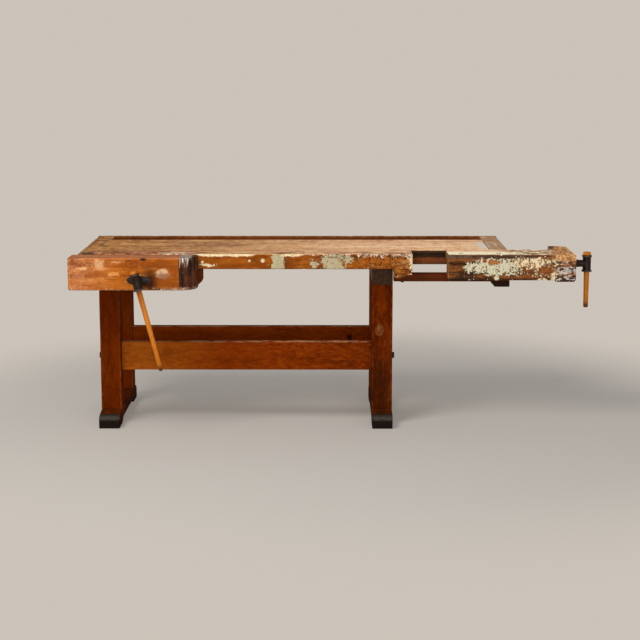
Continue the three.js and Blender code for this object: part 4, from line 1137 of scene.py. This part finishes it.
# Bench top
DOG_WIDE = 0.011
DOG_DEEP = 0.015
DOG_BACK = 0.042
DOG_PITCH = 0.170
DOG_FIRST = 0.214
DOG_COUNT = 5
dog_x = slab_high[0] - DOG_FIRST - DOG_PITCH * np.arange(DOG_COUNT)
dog_y = slab_low[1] + DOG_BACK
slab_holes = [(x - DOG_WIDE, x + DOG_WIDE, dog_y - DOG_DEEP, dog_y + DOG_DEEP) for x in dog_x]
cap_low, cap_high = box_of("left_end_cap")
plank = pierced(
    "front_plank_board", cornered(slab_low, slab_high, "x", (0.002, 0.002, 0.002, 0.008)),
    cap_high[0] + HAIR, slab_high[0], edge_wood, slab_holes, chip=(0.002, 0.0, 0.001, 0.008), seed=5,
)
stand_for(plank, "front_plank")
left_cap = squared(
    "left_end_cap_board", cap_low, cap_high, "y", top_y, (0.004, 0.002, 0.002, 0.008),
    step=0.02, chip=(0.004, 0, 0.002, 0.007), seed=8,
)
stand_for(left_cap, "left_end_cap")
softened("right_end_cap", 0.0015, top_y)
rim = squared("rear_rim_board", *box_of("rear_rim"), "x", tray_wood, chip=0.003, seed=3)
stand_for(rim, "rear_rim")

# Base
FOOT_PAD = 0.118
ARCH_START = 0.158
ARCH_HIGH = 0.022
TOE_HIGH = 0.056
FRONT_SLOPE = 0.097
REAR_SLOPE = 0.046
leg_top = box_of("left_bearer")[0][2] - HAIR
for name in ("front_left_leg", "rear_left_leg", "front_right_leg", "rear_right_leg"):
    low, high = box_of(name)
    low[2] = foot_high[2] + HAIR
    high[2] = leg_top
    leg = squared(name + "_post", low, high, "z", leg_wood, seed=len(name) + ord(name[0]) + ord(name[6]))
    stand_for(leg, name)
for side in ("left", "right"):
    bearer = squared(side + "_bearer_beam", *box_of(side + "_bearer"), "y", bearer_wood, seed=len(side))
    stand_for(bearer, side + "_bearer")
    low, high = box_of(side + "_foot")
    front, back = low[1], high[1]
    sled = [
        (front, 0.0, 0.006),
        (front + FOOT_PAD, 0.0, 0.010),
        (front + ARCH_START, ARCH_HIGH, 0.040),
        (back - ARCH_START, ARCH_HIGH, 0.040),
        (back - FOOT_PAD, 0.0, 0.010),
        (back, 0.0, 0.006),
        (back, TOE_HIGH, 0.022),
        (back - REAR_SLOPE, high[2], 0.004),
        (front + FRONT_SLOPE, high[2], 0.004),
        (front, TOE_HIGH, 0.022),
    ]
    foot = carried(
        side + "_foot_sled", sled, "x", low[0], high[0], foot_wood, edge=0.003, chip=0.002, seed=31, arc=7,
    )
    stand_for(foot, side + "_foot")
for row in ("front", "rear"):
    softened(row + "_stretcher", 0.0012, rail_wood)
for row in ("front", "rear"):
    for side in ("left", "right"):
        softened(f"{row}_{side}_bolt", 0.0008, iron)

# Front vise
jaw = squared(
    "front_jaw_block", jaw_low, jaw_high, "z", jaw_finish, (0.008, 0.080, 0.005, 0.005),
    edge=0.005, step=0.02, chip=0.003, seed=12, arc=12,
)
stand_for(jaw, "front_jaw")
softened("front_fixed_jaw", 0.001, fixed_jaw_wood)

# Tail vise
LEFT, RIGHT = np.array([-1.0, 0.0, 0.0]), np.array([1.0, 0.0, 0.0])
FRONT, BACK = np.array([0.0, -1.0, 0.0]), np.array([0.0, 1.0, 0.0])
DOWN, UP = np.array([0.0, 0.0, -1.0]), np.array([0.0, 0.0, 1.0])
softened("tail_block", 0.0022, tail_finish, [
    (tail_low, LEFT, DOWN, 0.012),
    (np.array([tail_low[0], tail_low[1], tail_high[2]]), LEFT, UP, 0.006),
])
softened("tail_head", 0.0015, tail_finish, [
    (head_high, RIGHT, UP, 0.013),
    (np.array([head_high[0], head_low[1], head_low[2]]), RIGHT, DOWN, 0.014),
    (np.array([head_high[0], head_low[1], head_high[2]]), FRONT, UP, 0.014),
])
for node, width, material in (
    ("tail_cover", 0.0025, tail_finish),
    ("tail_fixed_jaw", 0.001, edge_wood),
    ("tail_guide_rail", 0.001, hidden_wood),
    ("tail_nut_block", 0.001, dark_wood),
    ("tail_arm_keeper", 0.002, dark_wood),
):
    softened(node, width, material)


# Screws, hubs, flanges and handles of both vises
HUB_REACH = 0.068
HUB_HALF = 0.038
HUB_WALL = 0.0163
SCREW_RADIUS = 0.012
SCREW_PITCH = 0.008
SCREW_DEPTH = 0.0024
SCREW_TIP = 0.007
THREAD_FLANK = 0.14
THREAD_CREST = 0.46
PLATE_THICK = 0.006
PLATE_HOLE = 0.0124
PLATE_LONG = 0.052
PLATE_SHORT = 0.021
PLATE_SCREW = 0.039
SLOT_HALF = 0.0009
SLOT_FOOT = 0.0045
SLOT_DEEP = 0.0014
HANDLE_RADIUS = 0.0126
HANDLE_UNEVEN = 0.0007
ROD_EDGE = 0.0015


def made_of(node, ending, parts, material):
    """One piece from joined parts, named for its node and standing for it."""
    points, faces, wear = joined(parts)
    return stand_for(skin(node + ending, points, faces, material, wear), node)


def vise_screw(node, origin, out, hang, tail, plain):
    """A vise screw. Its thread is a flat ridge whose phase is the height over the pitch less the turn, the
    neck tapers and ends on the hub in a saddle, and the hub is a bored barrel with a rim at each end."""
    columns = 40
    turns = np.linspace(0, 1, columns, endpoint=False)
    rise = np.arange(-tail, -plain, SCREW_PITCH / 10)[:, None]
    phase = np.mod(rise / SCREW_PITCH - turns, 1.0)
    ridge = np.clip(phase / THREAD_FLANK, 0, 1) - np.clip((phase - THREAD_CREST) / THREAD_FLANK, 0, 1)
    thread = np.minimum(SCREW_RADIUS - SCREW_DEPTH * (1 - ridge), rise + tail + SCREW_TIP)
    neck_rise, neck_radius = bent([
        (-plain, SCREW_RADIUS),
        (PLATE_THICK, SCREW_RADIUS),
        (PLATE_THICK + 0.0006, 0.0182),
        (PLATE_THICK + 0.0016, 0.0194),
        (PLATE_THICK + 0.0090, 0.0194),
        (PLATE_THICK + 0.0110, 0.0178),
        (0.034, 0.0162),
        (0.046, 0.0158),
    ], 0.003).T
    shrink = np.linspace(0.0155, 0.0003, 8)[:, None]
    saddle = HUB_REACH - np.sqrt(HUB_WALL ** 2 - (shrink * np.cos(turns * 2 * math.pi)) ** 2)
    heights = [np.array([[-tail]]), rise, neck_rise[:, None], saddle]
    radii = [np.array([[0.001]]), thread, neck_radius[:, None], shrink]
    bright = [np.zeros((1, 1)), ridge, np.zeros((len(neck_rise) + len(saddle), 1))]
    heights, radii, bright = (
        np.concatenate([np.broadcast_to(rows, (len(rows), columns)) for rows in column])
        for column in (heights, radii, bright)
    )
    sideways = np.cross(hang, out)
    around = np.cos(turns * 2 * math.pi)[:, None] * sideways + np.sin(turns * 2 * math.pi)[:, None] * hang
    shaft = origin + heights[..., None] * out + radii[..., None] * around
    half = np.array([
        (0.0136, 0.0),
        (0.0136, HUB_HALF - 0.0015),
        (0.0151, HUB_HALF),
        (0.0208, HUB_HALF),
        (0.0224, HUB_HALF - 0.0006),
        (0.0230, HUB_HALF - 0.0022),
        (0.0230, HUB_HALF - 0.0062),
        (0.0224, HUB_HALF - 0.0074),
        (0.0198, HUB_HALF - 0.0088),
        (0.0190, HUB_HALF - 0.0108),
        (0.0187, 0.004),
    ])
    barrel = np.concatenate([half, half[::-1] * (1, -1)])[:-1]
    hub = ringed(hang, origin + HUB_REACH * out, barrel[:, 1], barrel[:, 0])
    rims = (np.abs(barrel[:, 1]) > HUB_HALF - 0.0075) * (barrel[:, 0] > 0.021)
    parts = [(shaft, capped(shaft), bright), (hub, grid_faces(*hub.shape[:2], True, True).tolist(), rims)]
    return made_of(node, "_turned", parts, iron)


def turned_handle(node, centre, hang, below, slim, seed):
    """A turned handle: a long uneven taper down to the slim radius, with a round tip below and a domed
    head."""
    rng = np.random.default_rng(seed)
    head = HUB_HALF + HAIR
    radius, height = bent([
        (0.0010, -below),
        (slim - 0.0046, -below + 0.0004),
        (slim - 0.0018, -below + 0.0022),
        (slim - 0.0002, -below + 0.0060),
        (slim, -below + 0.0160),
        (HANDLE_RADIUS, -0.020),
        (HANDLE_RADIUS, head),
        (0.0160, head + 0.0002),
        (0.0176, head + 0.0014),
        (0.0180, head + 0.0040),
        (0.0180, head + 0.0090),
        (0.0168, head + 0.0120),
        (0.0140, head + 0.0140),
        (0.0080, head + 0.0149),
        (0.0010, head + 0.0150),
    ], 0.006).T
    lower = np.clip((-0.045 - height) / 0.05, 0, 1)
    uneven = bumps(rng, height, KNOCK_SPACING) - 0.6
    grid = ringed(hang, centre, height, radius + uneven * HANDLE_UNEVEN * lower)
    tip = np.clip((0.032 + height.min() - height) / 0.018, 0, 1)
    top = np.clip((height - head - 0.0105) / 0.003, 0, 1) * 0.5
    return made_of(node, "_turned", [(grid, capped(grid), np.maximum(tip, top))], honey)


def flange(node, origin, out, long_way):
    """An oval flange: its outline runs from the round hole of the screw to an ellipse, its face is raised
    by a boss round the hole, and its edge is rounded. Two slotted screws hold it."""
    columns = 72
    turns = np.linspace(0, 2 * math.pi, columns, endpoint=False)
    rings = np.array([
        (0.00, 0.0002),
        (0.00, 0.0054),
        (0.10, 0.0059),
        (0.34, 0.0059),
        (0.42, 0.0056),
        (0.50, 0.0046),
        (0.74, 0.0040),
        (0.92, 0.0038),
        (0.97, 0.0034),
        (1.00, 0.0026),
        (1.00, 0.0002),
    ])
    short_way = np.cross(out, long_way)
    share = rings[:, :1]
    along = ((1 - share) * PLATE_HOLE + share * PLATE_LONG) * np.cos(turns)
    over = ((1 - share) * PLATE_HOLE + share * PLATE_SHORT) * np.sin(turns)
    rise = np.repeat(rings[:, 1:], columns, axis=1)
    plate = origin + along[..., None] * long_way + over[..., None] * short_way + rise[..., None] * out
    worn = np.repeat((share > 0.95) | (np.abs(share - 0.1) < 0.05), columns, axis=1)
    parts = [(plate, grid_faces(*plate.shape[:2], True, True).tolist(), worn)]
    radius = np.array([0.0056, 0.0056, 0.0053, 0.0042, 0.0030, 0.0018, 0.0006])
    dome = np.array([0.0030, 0.0041, 0.0046, 0.0052, 0.0056, 0.0058, 0.0059])[:, None]
    for way in (-1, 1):
        slot = (np.abs(radius[:, None] * np.sin(turns + way)) < SLOT_HALF) & (dome > SLOT_FOOT)
        head = ringed(out, origin + way * PLATE_SCREW * long_way, dome - SLOT_DEEP * slot, radius, columns)
        parts.append((head, capped(head), np.full(head.shape[:2], 0.4)))
    return made_of(node, "_casting", parts, iron)


def steel_rod(node, axis):
    """A round steel rod between the ends of its CAD node, with a rounded edge at each end."""
    low, high = box_of(node)
    half = float(np.abs((high - low) @ axis)) / 2
    radius = float(np.sort(high - low)[0]) / 2
    profile = bent([
        (0.001, -half),
        (radius - ROD_EDGE, -half),
        (radius, -half + ROD_EDGE),
        (radius, half - ROD_EDGE),
        (radius - ROD_EDGE, half),
        (0.001, half),
    ], 0.04)
    grid = ringed(axis, (low + high) / 2, profile[:, 1], profile[:, 0])
    return made_of(node, "_turned", [(grid, capped(grid), np.zeros(len(grid)))], steel)


LEAN = math.radians(14.5)
front_origin = sum(box_of("front_flange_plate")) / 2
front_origin[1] = JAW_FRONT
front_hang = np.array([-math.sin(LEAN), 0.0, math.cos(LEAN)])
vise_screw("front_screw", front_origin, FRONT, front_hang, tail=0.455, plain=0.120)
front_hub = front_origin + HUB_REACH * FRONT
turned_handle("front_handle", front_hub, front_hang, below=0.407, slim=0.0092, seed=17)
flange("front_flange_plate", front_origin, FRONT, RIGHT)
tail_origin = sum(box_of("tail_flange_plate")) / 2
tail_origin[0] = HEAD_END
vise_screw("tail_screw", tail_origin, RIGHT, UP, tail=0.437, plain=0.088)
tail_hub = tail_origin + HUB_REACH * RIGHT
turned_handle("tail_handle", tail_hub, UP, below=0.203, slim=0.0112, seed=23)
flange("tail_flange_plate", tail_origin, RIGHT, BACK)
for side in ("left", "right"):
    steel_rod(side + "_guide_rod", BACK)


# Floor, light and camera
FLOOR_REACH = 60.0
PALE = (0.60, 0.545, 0.485)


def background_rays(tone):
    """1 for the rays that show the background: camera rays, and rays through gloss and glass."""
    kinds = ("Is Camera Ray", "Is Glossy Ray", "Is Transmission Ray")
    camera_rays, *others = [tone.node("ShaderNodeLightPath", {}, {}, kind) for kind in kinds]
    return camera_rays.most(*others)


def pale_floor():
    """A pale studio floor that takes the bench's shadow, and fades to the plain background further out."""
    material, place = begin("pale_floor", 0.1)
    shader = shader_of(material)
    shader.inputs["Base Color"].default_value = (0.50, 0.475, 0.44, 1.0)
    shader.inputs["Roughness"].default_value = 0.85
    x, y = place.axis(0), place.axis(1)
    away = (x * x + y * y) ** 0.5
    glow = place.node("ShaderNodeEmission", {}, {"Color": (*PALE, 1.0), "Strength": 1.0})
    far = background_rays(place) * (away.smooth(1.4, 2.6) * 0.7 + 0.3)
    lit = Tone(place.tree, shader.outputs[0])
    mixed = place.node("ShaderNodeMixShader", {}, {0: far, 1: lit, 2: glow})
    place.tree.links.new(mixed.socket, place.tree.nodes["Material Output"].inputs["Surface"])
    return material


floor_grid = np.array([
    [(side * FLOOR_REACH, back * FLOOR_REACH, 0.0) for back in (-1, 1)]
    for side in (-1, 1)
])
floor = skin("studio_floor", floor_grid.reshape(-1, 3), grid_faces(2, 2).tolist(), pale_floor())

world = bpy.data.worlds.new("studio")
bpy.context.scene.world = world
world.use_nodes = True
sky = world.node_tree.nodes["Background"]
sky.inputs["Color"].default_value = (0.93, 0.95, 1.0, 1.0)
sky.inputs["Strength"].default_value = 0.40
sky_light = Tone(world.node_tree, sky.outputs[0])
backdrop = sky_light.node("ShaderNodeBackground", {}, {"Color": (*PALE, 1.0), "Strength": 1.0})
seen_sky = {0: background_rays(sky_light), 1: sky_light, 2: backdrop}
shown_sky = sky_light.node("ShaderNodeMixShader", {}, seen_sky)
world.node_tree.links.new(shown_sky.socket, world.node_tree.nodes["World Output"].inputs["Surface"])


def lamp(name, place, target, size, power, colour):
    """A large soft lamp that looks at a point."""
    data = bpy.data.lights.new(name, "AREA")
    data.shape = "DISK"
    data.size = size
    data.energy = power
    data.color = colour
    light = bpy.data.objects.new(name, data)
    light.location = place
    light.rotation_euler = (Vector(target) - Vector(place)).to_track_quat("-Z", "Y").to_euler()
    bpy.context.scene.collection.objects.link(light)


lamp("key_light", (-2.2, -2.6, 4.4), (0.0, 0.0, 0.5), 2.4, 176.0, (1.0, 0.96, 0.91))
lamp("fill_light", (1.2, -5.0, 1.0), (0.1, 0.0, 0.5), 3.0, 68.0, (1.0, 0.97, 0.94))
lamp("low_light", (-0.9, -5.2, 0.5), (-0.4, 0.2, 0.5), 2.6, 44.0, (1.0, 0.97, 0.94))

PITCH = math.radians(9.841)
YAW = math.radians(-0.194)
SENSOR = 36.0
FOCAL_PIXELS = 1578.1
PICTURE_PIXELS = 640.0
camera_data = bpy.data.cameras.new("photo_camera")
camera_data.sensor_width = SENSOR
camera_data.sensor_fit = "HORIZONTAL"
camera_data.lens = SENSOR * FOCAL_PIXELS / PICTURE_PIXELS
camera = bpy.data.objects.new("photo_camera", camera_data)
camera.location = (-0.039, -7.251, 1.717)
forward = Vector((math.sin(YAW) * math.cos(PITCH), math.cos(YAW) * math.cos(PITCH), -math.sin(PITCH)))
camera.rotation_euler = forward.to_track_quat("-Z", "Y").to_euler()
bpy.context.scene.collection.objects.link(camera)
bpy.context.scene.camera = camera
bpy.context.scene.view_settings.view_transform = "Standard"
